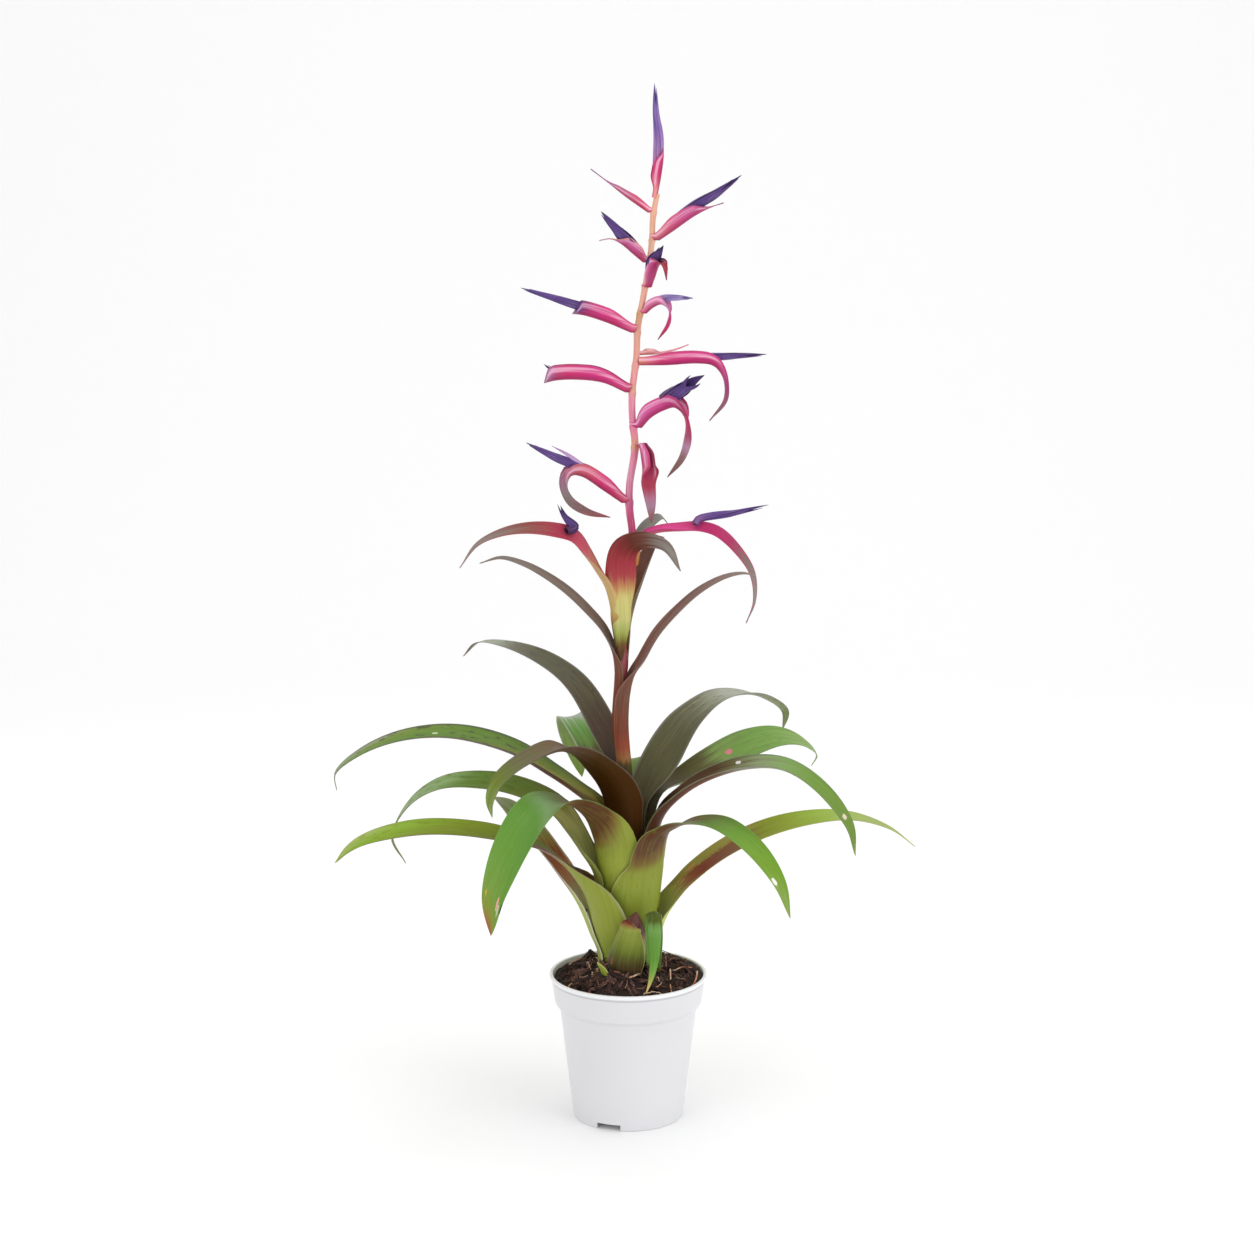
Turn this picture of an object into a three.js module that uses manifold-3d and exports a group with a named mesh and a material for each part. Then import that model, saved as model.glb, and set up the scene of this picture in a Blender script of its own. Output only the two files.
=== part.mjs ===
// Potted tillandsia: a leafy rosette with a tall flowering stem, standing in a white nursery pot.
// Millimetres, +Z up. The origin is the middle of the pot's foot, on the surface it stands on.
// The front is -Y. Azimuths are in degrees about +Z from +X towards +Y.

import * as THREE from 'three';
import { mergeVertices } from 'three/addons/utils/BufferGeometryUtils.js';
import Module from 'manifold-3d';

const wasm = await Module();
wasm.setup();

// Pot
const POT_HEIGHT = 112;
const RIM_RADIUS = 60;
const COLLAR_HEIGHT = 22;
const COLLAR_FOOT_RADIUS = 56.4;
const WALL_TOP_RADIUS = 52.2;
const FOOT_RADIUS = 42;
const WALL = 1.4;
const LIP = 2.6;
const FOOT_RING = 3;
const FLOOR_UNDERSIDE = 5;
const FLOOR_TOP = 7;
const POT_SIDES = 40;
const NOTCH = { wide: 19, high: 5, azimuths: [-111, 69] };
const DRAIN = { radius: 4, ring: 24, count: 6 };

// Potting mix
const SOIL_EDGE_HEIGHT = 106.5;
const SOIL_MOUND = 14;
const SOIL_MOUND_FORWARD = 14;
const SOIL_GAP = 0.4;
const SOIL_RINGS = 6;
const SOIL_SPOKES = 24;
const CHIP_COUNT = 26;
const HOLE_SIDES = 28;
const HOLE_TOP = 135;
const PUP_HOLE = { at: { x: -3.8, y: -21.6 }, low: 103.7, high: 128, radii: [11, 16.5] };
const PUP_LEAF_HOLE = { at: { x: 19, y: -8.5 }, low: 112.6, high: 128, radii: [7.5, 7] };
const STUB_HOLE = { at: { x: -17, y: -30.5 }, low: 106.6, high: 126, radii: [7, 9] };

// Plant: where its middle line stands in the pot, and how its leaf bases nest
const PLANT = new THREE.Vector2(0, 14);
const SHEATH_FOOT = 98;
const SHEATH_FOOT_RADIUS = 19.6;
const SHEATH_PITCH = 2;
const SHEATH_FLARE = 0.142;
const STRAIGHT_LAYER = 12;
const CORE_RADIUS = 2.5;
const CORE_FOOT = 62;
const CORE_TOP = 119;

// Pup at the front of the plant
const PUP = { x: -4.5, y: -21, foot: 104, tip: 168, radius: 14.2, lean: new THREE.Vector2(10.6, -6) };

// Leaves
const LEAF_THICKNESS = 1.1;
const EDGE_THICKNESS = 0.7;
const BRACT_THICKNESS = 0.8;
const TIP_HALF = 0.6;
const LEAF_SEGMENTS = 6;
const SHEATH_STATIONS = 3;
const BLADE_STATIONS = 11;
const BRACT_STATIONS = 9;
const TIP_CROWDING = 1.25;

// Flowering stem
const STEM_RADIUS = 2.8;
const STEM_TIP_RADIUS = 2;
const STEM_SIDES = 8;
const TOUCH_GAP = 0.3;

const UP = new THREE.Vector3(0, 0, 1);
const radians = THREE.MathUtils.degToRad;
const lerp = THREE.MathUtils.lerp;
const smooth = (value, from, to) => THREE.MathUtils.smoothstep(value, from, to);

// A fixed sequence of numbers between 0 and 1, so the chips fall the same way each time
function makeRandom(seed) {
  let state = seed;
  return () => {
    state = (state * 16807) % 2147483647;
    return state / 2147483647;
  };
}

function outward(azimuth) {
  return new THREE.Vector3(Math.cos(radians(azimuth)), Math.sin(radians(azimuth)), 0);
}

function sideways(azimuth) {
  return new THREE.Vector3(-Math.sin(radians(azimuth)), Math.cos(radians(azimuth)), 0);
}

// Closed meshes from rows of points

function facesOutward(positions, faces) {
  let volume = 0;
  const [a, b, c] = [new THREE.Vector3(), new THREE.Vector3(), new THREE.Vector3()];
  for (const [i, j, k] of faces) {
    a.copy(positions[i]);
    b.copy(positions[j]);
    c.copy(positions[k]);
    volume += a.dot(b.cross(c));
  }
  return volume > 0;
}

function closedGeometry(positions, faces) {
  const turned = facesOutward(positions, faces) ? faces : faces.map(([i, j, k]) => [i, k, j]);
  const geometry = new THREE.BufferGeometry();
  const flat = positions.flatMap((point) => point.toArray());
  geometry.setAttribute('position', new THREE.Float32BufferAttribute(flat, 3));
  geometry.setIndex(turned.flat());
  return geometry;
}

// A round body along a line of centres: its radius changes from ring to ring and both ends come to a point
function spindle(rings, sides, tips) {
  const positions = rings.flat();
  const faces = [];
  for (let ring = 0; ring < rings.length - 1; ring += 1) {
    for (let side = 0; side < sides; side += 1) {
      const next = (side + 1) % sides;
      const low = ring * sides;
      const high = low + sides;
      faces.push([low + side, low + next, high + next]);
      faces.push([low + side, high + next, high + side]);
    }
  }
  const lastRing = (rings.length - 1) * sides;
  const startTip = positions.push(tips[0]) - 1;
  const endTip = positions.push(tips[1]) - 1;
  for (let side = 0; side < sides; side += 1) {
    const next = (side + 1) % sides;
    faces.push([startTip, next, side]);
    faces.push([endTip, lastRing + side, lastRing + next]);
  }
  return closedGeometry(positions, faces);
}

function solidOf(geometry) {
  const bare = geometry.clone();
  bare.deleteAttribute('normal');
  bare.deleteAttribute('uv');
  const merged = mergeVertices(bare, 1e-4);
  const vertProperties = new Float32Array(merged.attributes.position.array);
  const triVerts = new Uint32Array(merged.index.array);
  return new wasm.Manifold(new wasm.Mesh({ numProp: 3, vertProperties, triVerts }));
}

function geometryOf(solid) {
  const mesh = solid.getMesh();
  const geometry = new THREE.BufferGeometry();
  geometry.setAttribute('position', new THREE.BufferAttribute(new Float32Array(mesh.vertProperties), 3));
  geometry.setIndex(new THREE.BufferAttribute(new Uint32Array(mesh.triVerts), 1));
  return geometry;
}

// Lines in space, walked in steps that crowd towards the tip, each carrying its own upright frame

function walk(points, firstPoint, steps) {
  const curve = new THREE.CatmullRomCurve3(points, false, 'centripetal');
  const start = firstPoint / (points.length - 1);
  const fine = 240;
  const places = [];
  const lengths = [0];
  for (let i = 0; i <= fine; i += 1) {
    places.push(curve.getPoint(lerp(start, 1, i / fine)));
    if (i > 0) {
      lengths.push(lengths[i - 1] + places[i].distanceTo(places[i - 1]));
    }
  }
  const total = lengths[fine];
  const stops = [];
  let mark = 0;
  for (let step = 0; step <= steps; step += 1) {
    const wanted = total * (1 - (1 - step / steps) ** TIP_CROWDING);
    while (mark < fine - 1 && lengths[mark + 1] < wanted) {
      mark += 1;
    }
    const share = (wanted - lengths[mark]) / (lengths[mark + 1] - lengths[mark]);
    const point = places[mark].clone().lerp(places[mark + 1], share);
    const tangent = places[mark + 1].clone().sub(places[mark]).normalize();
    stops.push({ point, tangent, along: wanted });
  }
  return { stops, total };
}

// The normal is carried along the line with the least turning
function carryNormals(stops, firstNormal) {
  let normal = firstNormal.clone();
  for (const stop of stops) {
    normal = normal.clone().addScaledVector(stop.tangent, -normal.dot(stop.tangent)).normalize();
    stop.normal = normal;
    stop.across = normal.clone().cross(stop.tangent);
  }
}

function rolled(stop, degrees) {
  const cos = Math.cos(radians(degrees));
  const sin = Math.sin(radians(degrees));
  const normal = stop.normal.clone().multiplyScalar(cos).addScaledVector(stop.across, sin);
  const across = stop.across.clone().multiplyScalar(cos).addScaledVector(stop.normal, -sin);
  return { normal, across };
}

// A leaf is a strip bent to an arc across its width. Each station has the point on its midrib, the
// normal of its upper face, the direction across it, the arc's radius and half of the strip's width.
function leafGeometry(stations, segments) {
  const positions = [];
  const rows = stations.map((station) => {
    const centre = station.point.clone().addScaledVector(station.normal, station.curl);
    const upper = [];
    const lower = [];
    for (let j = 0; j <= segments; j += 1) {
      const share = (2 * j) / segments - 1;
      const angle = (share * station.half) / station.curl;
      const inward = station.normal.clone().multiplyScalar(Math.cos(angle));
      inward.addScaledVector(station.across, -Math.sin(angle));
      const middle = centre.clone().addScaledVector(inward, -station.curl);
      const reach = lerp(station.thickness, EDGE_THICKNESS, share * share) / 2;
      upper.push(positions.push(middle.clone().addScaledVector(inward, reach)) - 1);
      lower.push(positions.push(middle.clone().addScaledVector(inward, -reach)) - 1);
    }
    return { upper, lower };
  });
  const faces = [];
  const quad = (a, b, c, d) => faces.push([a, b, c], [a, c, d]);
  for (let i = 0; i < rows.length - 1; i += 1) {
    const [near, far] = [rows[i], rows[i + 1]];
    for (let j = 0; j < segments; j += 1) {
      quad(near.upper[j], near.upper[j + 1], far.upper[j + 1], far.upper[j]);
      faces.push([near.lower[j], far.lower[j + 1], near.lower[j + 1]]);
      faces.push([near.lower[j], far.lower[j], far.lower[j + 1]]);
    }
    quad(near.lower[0], near.upper[0], far.upper[0], far.lower[0]);
    quad(near.upper[segments], near.lower[segments], far.lower[segments], far.upper[segments]);
  }
  const foot = rows[0];
  for (let j = 0; j < segments; j += 1) {
    quad(foot.upper[j], foot.lower[j], foot.lower[j + 1], foot.upper[j + 1]);
  }
  const end = stations[stations.length - 1].tip;
  const last = rows[rows.length - 1];
  const tipUpper = positions.push(end.upper) - 1;
  const tipLower = positions.push(end.lower) - 1;
  for (let j = 0; j < segments; j += 1) {
    faces.push([last.upper[j], last.upper[j + 1], tipUpper]);
    faces.push([last.lower[j], tipLower, last.lower[j + 1]]);
  }
  quad(last.lower[0], last.upper[0], tipUpper, tipLower);
  quad(last.upper[segments], last.lower[segments], tipLower, tipUpper);
  return closedGeometry(positions, faces);
}

// The last step of the walk becomes the leaf's point, with an edge as thick as its margins
function closeTip(stations) {
  const point = stations.pop();
  const half = EDGE_THICKNESS / 2;
  stations[stations.length - 1].tip = {
    upper: point.point.clone().addScaledVector(point.normal, half),
    lower: point.point.clone().addScaledVector(point.normal, -half),
  };
  return stations;
}

// Width along a blade, as a share of its widest: nearly even, then drawn to a point
function taper(share, fullness) {
  return Math.pow(Math.max(1 - Math.pow(share, fullness), 0), 0.9);
}

// Roll about the midrib in degrees: near the foot of the blade, at its middle and at its tip
function rollAt([foot, middle, tip], share) {
  const outer = lerp(middle, tip, smooth(share, 0.5, 1));
  return share < 0.5 ? lerp(foot, middle, smooth(share, 0.12, 0.5)) : outer;
}

// A leaf with a sheath that clasps an upright line, then leaves it as a free blade
function sheathedStations(leaf) {
  const radial = outward(leaf.azimuth);
  const turn = sideways(leaf.azimuth);
  const inward = radial.clone().negate();
  const claspAt = (height) => {
    const share = (height - leaf.foot) / (leaf.leaves - leaf.foot);
    return radians(lerp(leaf.clasp[0], leaf.clasp[1], share ** (leaf.claspPower ?? 1)));
  };
  const stations = [];
  const place = (height) => leaf.axis(height).addScaledVector(radial, leaf.radius(height));
  const sheathSteps = leaf.sheathSteps ?? SHEATH_STATIONS;
  for (let i = 0; i < sheathSteps; i += 1) {
    const height = lerp(leaf.foot, leaf.leaves, i / sheathSteps);
    const curl = leaf.radius(height);
    stations.push({
      point: place(height),
      normal: inward,
      across: turn.clone(),
      curl,
      half: claspAt(height) * curl,
      thickness: LEAF_THICKNESS,
    });
  }
  const top = leaf.axis(leaf.leaves);
  const points = [place(lerp(leaf.foot, leaf.leaves, 0.7)), place(leaf.leaves)];
  for (const [reach, height, side = 0] of leaf.blade) {
    const point = new THREE.Vector3(top.x, top.y, height);
    points.push(point.addScaledVector(radial, reach).addScaledVector(turn, side));
  }
  const { stops, total } = walk(points, 1, leaf.steps ?? BLADE_STATIONS);
  carryNormals(stops, inward);
  const sheathHalf = claspAt(leaf.leaves) * leaf.radius(leaf.leaves);
  const opening = leaf.opening ?? 38;
  for (const stop of stops) {
    const share = stop.along / total;
    const roll = rollAt(leaf.roll, share) * smooth(stop.along, 0, opening * 1.3);
    const { normal, across } = rolled(stop, roll);
    const free = smooth(stop.along, 0, opening * 0.5);
    const shoulder = lerp(sheathHalf, leaf.half, smooth(stop.along, 0, opening));
    stations.push({
      point: stop.point,
      normal: inward.clone().lerp(normal, free).normalize(),
      across: across.clone(),
      curl: lerp(leaf.radius(leaf.leaves), leaf.curl, smooth(stop.along, 0, opening * 1.2)),
      half: Math.max(shoulder * taper(share, leaf.fullness ?? 3), TIP_HALF),
      thickness: lerp(LEAF_THICKNESS, EDGE_THICKNESS, share * share),
    });
  }
  for (const station of stations) {
    station.across.addScaledVector(station.normal, -station.across.dot(station.normal)).normalize();
  }
  return closeTip(stations);
}

// Rosette: leaves from the outermost (oldest) to the innermost. Blade points are reach from the plant's
// middle line and height above the foot, with an optional shift sideways.
function rosetteRadius(layer) {
  const atFoot = SHEATH_FOOT_RADIUS - SHEATH_PITCH * layer;
  const flare = SHEATH_FLARE * (1 - layer / STRAIGHT_LAYER);
  return (height) => atFoot + flare * (height - SHEATH_FOOT);
}

const ROSETTE = [
  {
    name: 'leaf_left_outer', azimuth: 165, layer: 0, leaves: 126, clasp: [50, 48], half: 13, curl: 17,
    roll: [-20, 10, 44], opening: 45, fullness: 5,
    blade: [[30, 139], [40, 160], [52, 180], [66, 199], [82, 219], [96, 233], [107, 239]],
  },
  {
    name: 'leaf_right_low', azimuth: 12, layer: 0, leaves: 144, clasp: [50, 46], half: 10, curl: 20,
    roll: [-24, -34, -12],
    blade: [[36, 165], [46, 178], [72, 198], [104, 213], [140, 221], [176, 221], [208, 210], [229, 194]],
  },
  {
    name: 'leaf_back_low', azimuth: 98, layer: 0, leaves: 138, clasp: [15, 15], half: 12, curl: 24,
    roll: [0, 0, 0], steps: 8,
    blade: [[38, 164], [62, 182], [84, 184], [104, 171], [116, 150]],
  },
  {
    name: 'leaf_left_low', azimuth: 194, layer: 1, leaves: 158, clasp: [82, 74], half: 10.5, curl: 22,
    roll: [-6, 26, 40], opening: 48, fullness: 4.5,
    blade: [
      [32, 173], [43, 188], [56, 201], [72, 212], [110, 225], [160, 231.5], [200, 226],
      [214, 219], [224, 209],
    ],
  },
  {
    name: 'leaf_front_right', azimuth: -48, layer: 2, leaves: 200, clasp: [86, 40], half: 12.5, curl: 22,
    roll: [4, -10, -26], segments: 8, sheathSteps: 6, claspPower: 5,
    blade: [[34, 220], [48, 230], [66, 238], [98, 243], [120, 239], [144, 228], [163, 211], [173, 189]],
  },
  {
    name: 'leaf_back_middle', azimuth: 85, layer: 2, leaves: 190, clasp: [38, 38], half: 12, curl: 24,
    roll: [0, 0, 0], steps: 8,
    blade: [[38, 214], [60, 229], [86, 232], [108, 220], [120, 198]],
  },
  {
    name: 'leaf_front_left', azimuth: 236, layer: 3, leaves: 213, clasp: [58, 50], half: 16.5, curl: 30,
    roll: [6, 6, 6], fullness: 4.5,
    blade: [
      [34, 230], [50, 243], [71, 253], [99, 260], [122, 256], [142, 242], [159, 224],
      [171, 205], [174, 181],
    ],
  },
  {
    name: 'leaf_back_tall', azimuth: 90, layer: 3, leaves: 204, clasp: [50, 46], half: 13, curl: 26,
    roll: [0, 0, 0], steps: 8,
    blade: [[36, 228], [60, 248], [84, 255], [106, 246], [117, 224]],
  },
  {
    name: 'leaf_left_middle', azimuth: 178, layer: 2, leaves: 186, clasp: [44, 44], half: 14, curl: 17,
    roll: [0, 22, -6], fullness: 2,
    blade: [
      [35, 203], [44, 219], [56, 235], [76, 247], [105, 255], [141, 254], [166, 239],
      [180, 213], [170, 192],
    ],
  },
  {
    name: 'leaf_right_arching', azimuth: -10, layer: 4, leaves: 220, clasp: [58, 50], half: 13.5,
    curl: 14, roll: [-4, -12, -40],
    blade: [
      [29, 235], [43, 250], [62, 262.5], [92, 273], [119, 273], [146, 257.5], [168, 231],
      [173, 208],
    ],
  },
  {
    name: 'leaf_left_upper', azimuth: 170, layer: 5, leaves: 222, clasp: [55, 50], half: 14, curl: 15,
    roll: [0, 16, 22],
    blade: [
      [26, 236], [41, 248], [60, 260.5], [90, 277.5], [134, 288], [176, 284.5], [210, 271],
      [230, 254], [229, 241],
    ],
  },
  {
    name: 'leaf_right_spotted', azimuth: 30, layer: 5, leaves: 236, clasp: [40, 34], half: 14.5, curl: 26,
    roll: [2, -50, -26],
    blade: [
      [27, 247], [46, 252.5], [75, 263], [105, 274], [136, 277], [158, 270.5], [172, 258],
      [167, 250],
    ],
  },
  {
    name: 'leaf_dark_twisted', azimuth: 240, layer: 6, leaves: 244, clasp: [70, 70], half: 16.5, curl: 20,
    roll: [0, 24, 30], fullness: 3.5,
    blade: [
      [26, 262, -4], [43, 281, -12], [57, 290, -18], [71, 293, -23], [99, 283, -39], [112, 273, -46],
      [118, 261, -48], [117, 250, -47],
    ],
  },
  {
    name: 'leaf_back_short', azimuth: 115, layer: 6, leaves: 232, clasp: [42, 40], half: 13, curl: 22,
    roll: [8, 16, 16], fullness: 5,
    blade: [[40, 256], [75, 279], [104, 288], [117, 276], [108, 256], [95, 240]],
  },
  {
    name: 'leaf_tall_right', azimuth: 43, layer: 7, leaves: 236, clasp: [70, 66], half: 16, curl: 26,
    roll: [-34, -3, 8],
    blade: [
      [22, 250], [33, 266], [48, 283], [63, 295], [94, 308], [124, 308], [151, 300],
      [172, 286], [169, 272],
    ],
  },
  {
    name: 'leaf_tall_left', azimuth: 140, layer: 8, leaves: 258, clasp: [60, 60], half: 12, curl: 22,
    roll: [26, 14, 0],
    blade: [[18, 281], [34, 307], [54, 327], [85, 341], [125, 348], [155, 346], [171, 333]],
  },
];

function rosetteLeaf(leaf) {
  const radius = rosetteRadius(leaf.layer);
  const axis = (height) => new THREE.Vector3(PLANT.x, PLANT.y, height);
  const stations = sheathedStations({ ...leaf, foot: SHEATH_FOOT, radius, axis });
  return leafGeometry(stations, leaf.segments ?? LEAF_SEGMENTS);
}

// Flowering stem: its middle line, as sideways place and height
const STEM_LINE = [
  [0, 120], [0, 200], [-4, 262], [-7, 304], [-5, 340], [-4, 395], [3, 445], [1, 466], [1, 484], [5, 512],
  [3, 535], [3, 553], [6, 579], [7, 600], [12, 628], [17, 660], [18, 680], [21, 697],
];

const stemCurve = new THREE.CatmullRomCurve3(
  STEM_LINE.map(([x, z]) => new THREE.Vector3(PLANT.x + x, PLANT.y, z)),
  false,
  'centripetal',
);
const stemPoints = stemCurve.getPoints(400);

function stemAt(height) {
  const last = stemPoints.length - 1;
  const found = stemPoints.findIndex((point) => point.z >= height);
  const above = found < 0 ? last : Math.max(found, 1);
  const [low, high] = [stemPoints[above - 1], stemPoints[above]];
  return low.clone().lerp(high, (height - low.z) / (high.z - low.z));
}

function stemRadiusAt(height) {
  return lerp(STEM_RADIUS, STEM_TIP_RADIUS, smooth(height, 420, 697));
}

function flowerStem() {
  const rings = [];
  const low = STEM_LINE[0][1];
  const high = STEM_LINE[STEM_LINE.length - 1][1];
  const steps = 24;
  for (let i = 0; i <= steps; i += 1) {
    const height = lerp(low, high, i / steps);
    const centre = stemAt(height);
    const ring = [];
    for (let side = 0; side < STEM_SIDES; side += 1) {
      ring.push(centre.clone().addScaledVector(outward((360 * side) / STEM_SIDES), stemRadiusAt(height)));
    }
    rings.push(ring);
  }
  return spindle(rings, STEM_SIDES, [stemAt(low), stemAt(high)]);
}

// Leaves on the flowering stem clasp it in the same way, each in its own ring of space
const STEM_LEAVES = [
  {
    name: 'stem_leaf_right', azimuth: -12, ring: 6.8, foot: 262, leaves: 322, clasp: [110, 110],
    half: 7.5, curl: 13, roll: [-16, -20, -36], opening: 30, fullness: 1.8,
    blade: [[11, 341], [18, 353], [29, 373], [43, 390], [61, 407], [80, 418], [94, 421], [103, 419]],
  },
  {
    name: 'stem_leaf_left', azimuth: 186, ring: 4.8, foot: 290, leaves: 342, clasp: [100, 100], half: 5,
    curl: 12, roll: [10, 20, 30], opening: 26, fullness: 2.2,
    blade: [[7, 359], [14, 375], [27, 391], [41, 405], [57, 417], [73, 426], [90, 431], [106, 427]],
  },
  {
    name: 'stem_bract_behind', azimuth: 40, ring: 4.6, foot: 350, leaves: 376, clasp: [64, 64],
    half: 12.5, curl: 12, roll: [0, 0, 0], opening: 30,
    blade: [[10, 395], [17, 414], [25, 432], [31, 443], [37, 442]],
  },
  {
    name: 'stem_bract_left', azimuth: 190, ring: 6.6, foot: 366, leaves: 390, clasp: [76, 76], half: 10.5,
    curl: 10, roll: [0, 30, 6], opening: 26, fullness: 1.35,
    blade: [
      [12, 408], [20, 420], [29, 434], [38, 446], [52, 451], [72, 453], [92, 450], [109, 442], [122, 425],
    ],
    flower: { from: 0.5, lift: 3.8, reach: [[36, 453], [43, 461], [48, 471]], thick: 2.6 },
  },
  {
    name: 'stem_bract_front', azimuth: -96, ring: 4.6, foot: 352, leaves: 384, clasp: [64, 64], half: 13,
    curl: 14, roll: [0, 0, 0], opening: 36, fullness: 1.7,
    blade: [
      [6.5, 402], [11, 419], [17, 434, 2], [22, 442, 8], [25, 446, 20], [25, 442, 35], [25, 424, 46],
    ],
  },
  {
    name: 'stem_bract_right', azimuth: -5, ring: 6.6, foot: 424, leaves: 436, clasp: [80, 80], half: 8,
    curl: 6.2, roll: [0, -16, -30], opening: 22, fullness: 1.3,
    blade: [
      [11, 445], [20, 449], [36, 451], [52, 452], [64, 449], [78, 437], [90, 419], [92, 398], [86, 381],
    ],
    flower: { from: 0.4, lift: 4, reach: [[50, 459], [76, 464], [102, 470]], thick: 2.3 },
  },
  {
    name: 'stem_bract_small', azimuth: 46, ring: 4.8, foot: 434, leaves: 444, clasp: [50, 50], half: 5,
    curl: 8, roll: [-30, -30, -30], opening: 14, steps: 8,
    blade: [[10, 448], [20, 454], [31, 457], [40, 450]],
  },
];

function stemLeafStations(leaf) {
  return sheathedStations({ ...leaf, radius: () => leaf.ring, axis: stemAt });
}

// Floral bracts: each is a leaf rolled into a tube round its flower, with its tip free. The midrib
// path starts at the stem; points are reach from the stem's line, height and an optional shift sideways.
const BRACTS = [
  {
    name: 'bract_01_right', azimuth: -45, bore: 4.2, tube: 0.3, half: 7.2,
    path: [[5.6, 514], [8, 508], [10, 498], [12.5, 485], [16, 470], [17.5, 457]],
  },
  {
    name: 'bract_02_left', azimuth: 187, bore: 4.9, tube: 0.4, half: 5.2,
    path: [[5.6, 471], [20, 481], [35, 491], [43, 492], [47, 485], [44, 474], [32, 465], [14, 460]],
    flower: { from: 0.2, reach: [[37, 498], [58, 507], [77, 517]], thick: 3 },
  },
  {
    name: 'bract_03_right', azimuth: -22, bore: 4.9, tube: 0.3, half: 6.6,
    path: [[6.4, 527], [14, 535], [25, 541], [33, 543], [40, 537], [42, 521], [38, 506], [27, 491]],
    flower: { from: 0.2, reach: [[24, 547], [38, 556], [54, 567]], thick: 3.4 },
  },
  {
    name: 'bract_04_left', azimuth: 172, bore: 5, tube: 0.92, half: 6, fullness: 14,
    path: [[5, 553], [22, 560], [44, 562], [58, 561], [66, 559]],
    flower: { from: 0.2, reach: [[44, 567], [58, 568], [66, 573]], thick: 2.5 },
  },
  {
    name: 'bract_05_right', azimuth: 6, bore: 4.2, tube: 0.5, half: 3.6,
    path: [[4.2, 573], [24, 573], [46, 574], [58, 572], [66, 562], [67, 547], [55, 531]],
    flower: { from: 0.2, reach: [[48, 578], [74, 579], [98, 580]], thick: 2.6 },
  },
  {
    name: 'bract_05_pale', azimuth: 34, bore: 2.2, tube: 0.2, half: 3,
    path: [[8, 580, 4], [20, 580, 4], [34, 582, 2], [47, 586]],
  },
  {
    name: 'bract_06_left', azimuth: 186, bore: 4.9, tube: 0.74, half: 4,
    path: [[4.8, 597], [24, 605], [44, 612], [51, 610], [47, 604]],
    flower: { from: 0.2, reach: [[48, 618], [67, 624], [86, 630]], thick: 2.8 },
  },
  {
    name: 'bract_07_right', azimuth: -30, bore: 3.2, tube: 0.3, half: 3.8,
    path: [[5, 611], [10, 615], [18, 618], [24, 614], [23, 604], [15, 592]],
    flower: { from: 0.2, reach: [[18, 622], [30, 623], [44, 623]], thick: 2 },
  },
  {
    name: 'bract_08_front', azimuth: -58, bore: 4, tube: 0.48, half: 4.6,
    path: [[6.6, 630], [10, 637], [15, 645], [21, 648], [26, 645], [29, 636]],
    flower: { from: 0.2, reach: [[10, 648], [17, 654], [23, 661]], thick: 2.7 },
  },
  {
    name: 'bract_09_left', azimuth: 196, bore: 3.6, tube: 0.5, half: 3.6,
    path: [[4.6, 648], [12, 654], [22, 662], [29, 665], [38, 664]],
    flower: { from: 0.2, reach: [[20, 667], [28, 675], [37, 685]], thick: 2.4 },
  },
  {
    name: 'bract_10_right', azimuth: -12, bore: 4.3, tube: 0.66, half: 4,
    path: [[5.4, 664], [16, 671], [32, 682], [44, 688], [53, 691]],
    flower: { from: 0.2, reach: [[34, 690], [48, 698], [66, 711]], thick: 2.8 },
  },
  {
    name: 'bract_11_left', azimuth: 176, bore: 2.8, tube: 0.6, half: 2.6,
    path: [[4.2, 684], [20, 695], [34, 706], [46, 715]],
  },
  {
    name: 'bract_12_top', azimuth: 10, bore: 3.8, tube: 0.5, half: 3,
    path: [[3.4, 699], [4.4, 712], [4.5, 726], [3.8, 737], [3.6, 743]],
    flower: { from: 0.3, reach: [[1, 735], [-1, 757], [-2, 776]], thick: 2.8 },
  },
];

// Radius and half width of a bract's roll at a share of its length
function bractSection(bract, share) {
  const open = smooth(share, bract.tube * 0.9, Math.min(bract.tube + 0.25, 1));
  const belly = lerp(0.62, 1, smooth(share, 0, bract.tube * 0.5));
  const curl = lerp(bract.bore * belly, bract.half * 1.8, open);
  const rolledHalf = radians(150) * bract.bore * belly;
  const half = lerp(rolledHalf, bract.half, open) * taper(share, bract.fullness ?? 3);
  return { curl, half: Math.max(half, TIP_HALF) };
}

// Points given as reach from the stem, height and an optional shift sideways
function besideStem(path, azimuth, foot) {
  const radial = outward(azimuth);
  const turn = sideways(azimuth);
  return path.map(([reach, height, side = 0]) => {
    const point = new THREE.Vector3(foot.x, foot.y, height);
    return point.addScaledVector(radial, reach).addScaledVector(turn, side);
  });
}

function bractStations(bract, foot) {
  const points = besideStem(bract.path, bract.azimuth, foot);
  const { stops, total } = walk(points, 0, BRACT_STATIONS);
  const rises = points[1].z - points[0].z > points[1].distanceTo(points[0]) * 0.9;
  carryNormals(stops, rises ? outward(bract.azimuth).negate() : UP);
  const stations = stops.map((stop) => ({
    point: stop.point,
    normal: stop.normal,
    across: stop.across,
    ...bractSection(bract, stop.along / total),
    thickness: BRACT_THICKNESS,
  }));
  return closeTip(stations);
}

// A flower is a spindle of three petals rolled together, seen as three lobes that twist
const PETAL_SIDES = 6;

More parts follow.
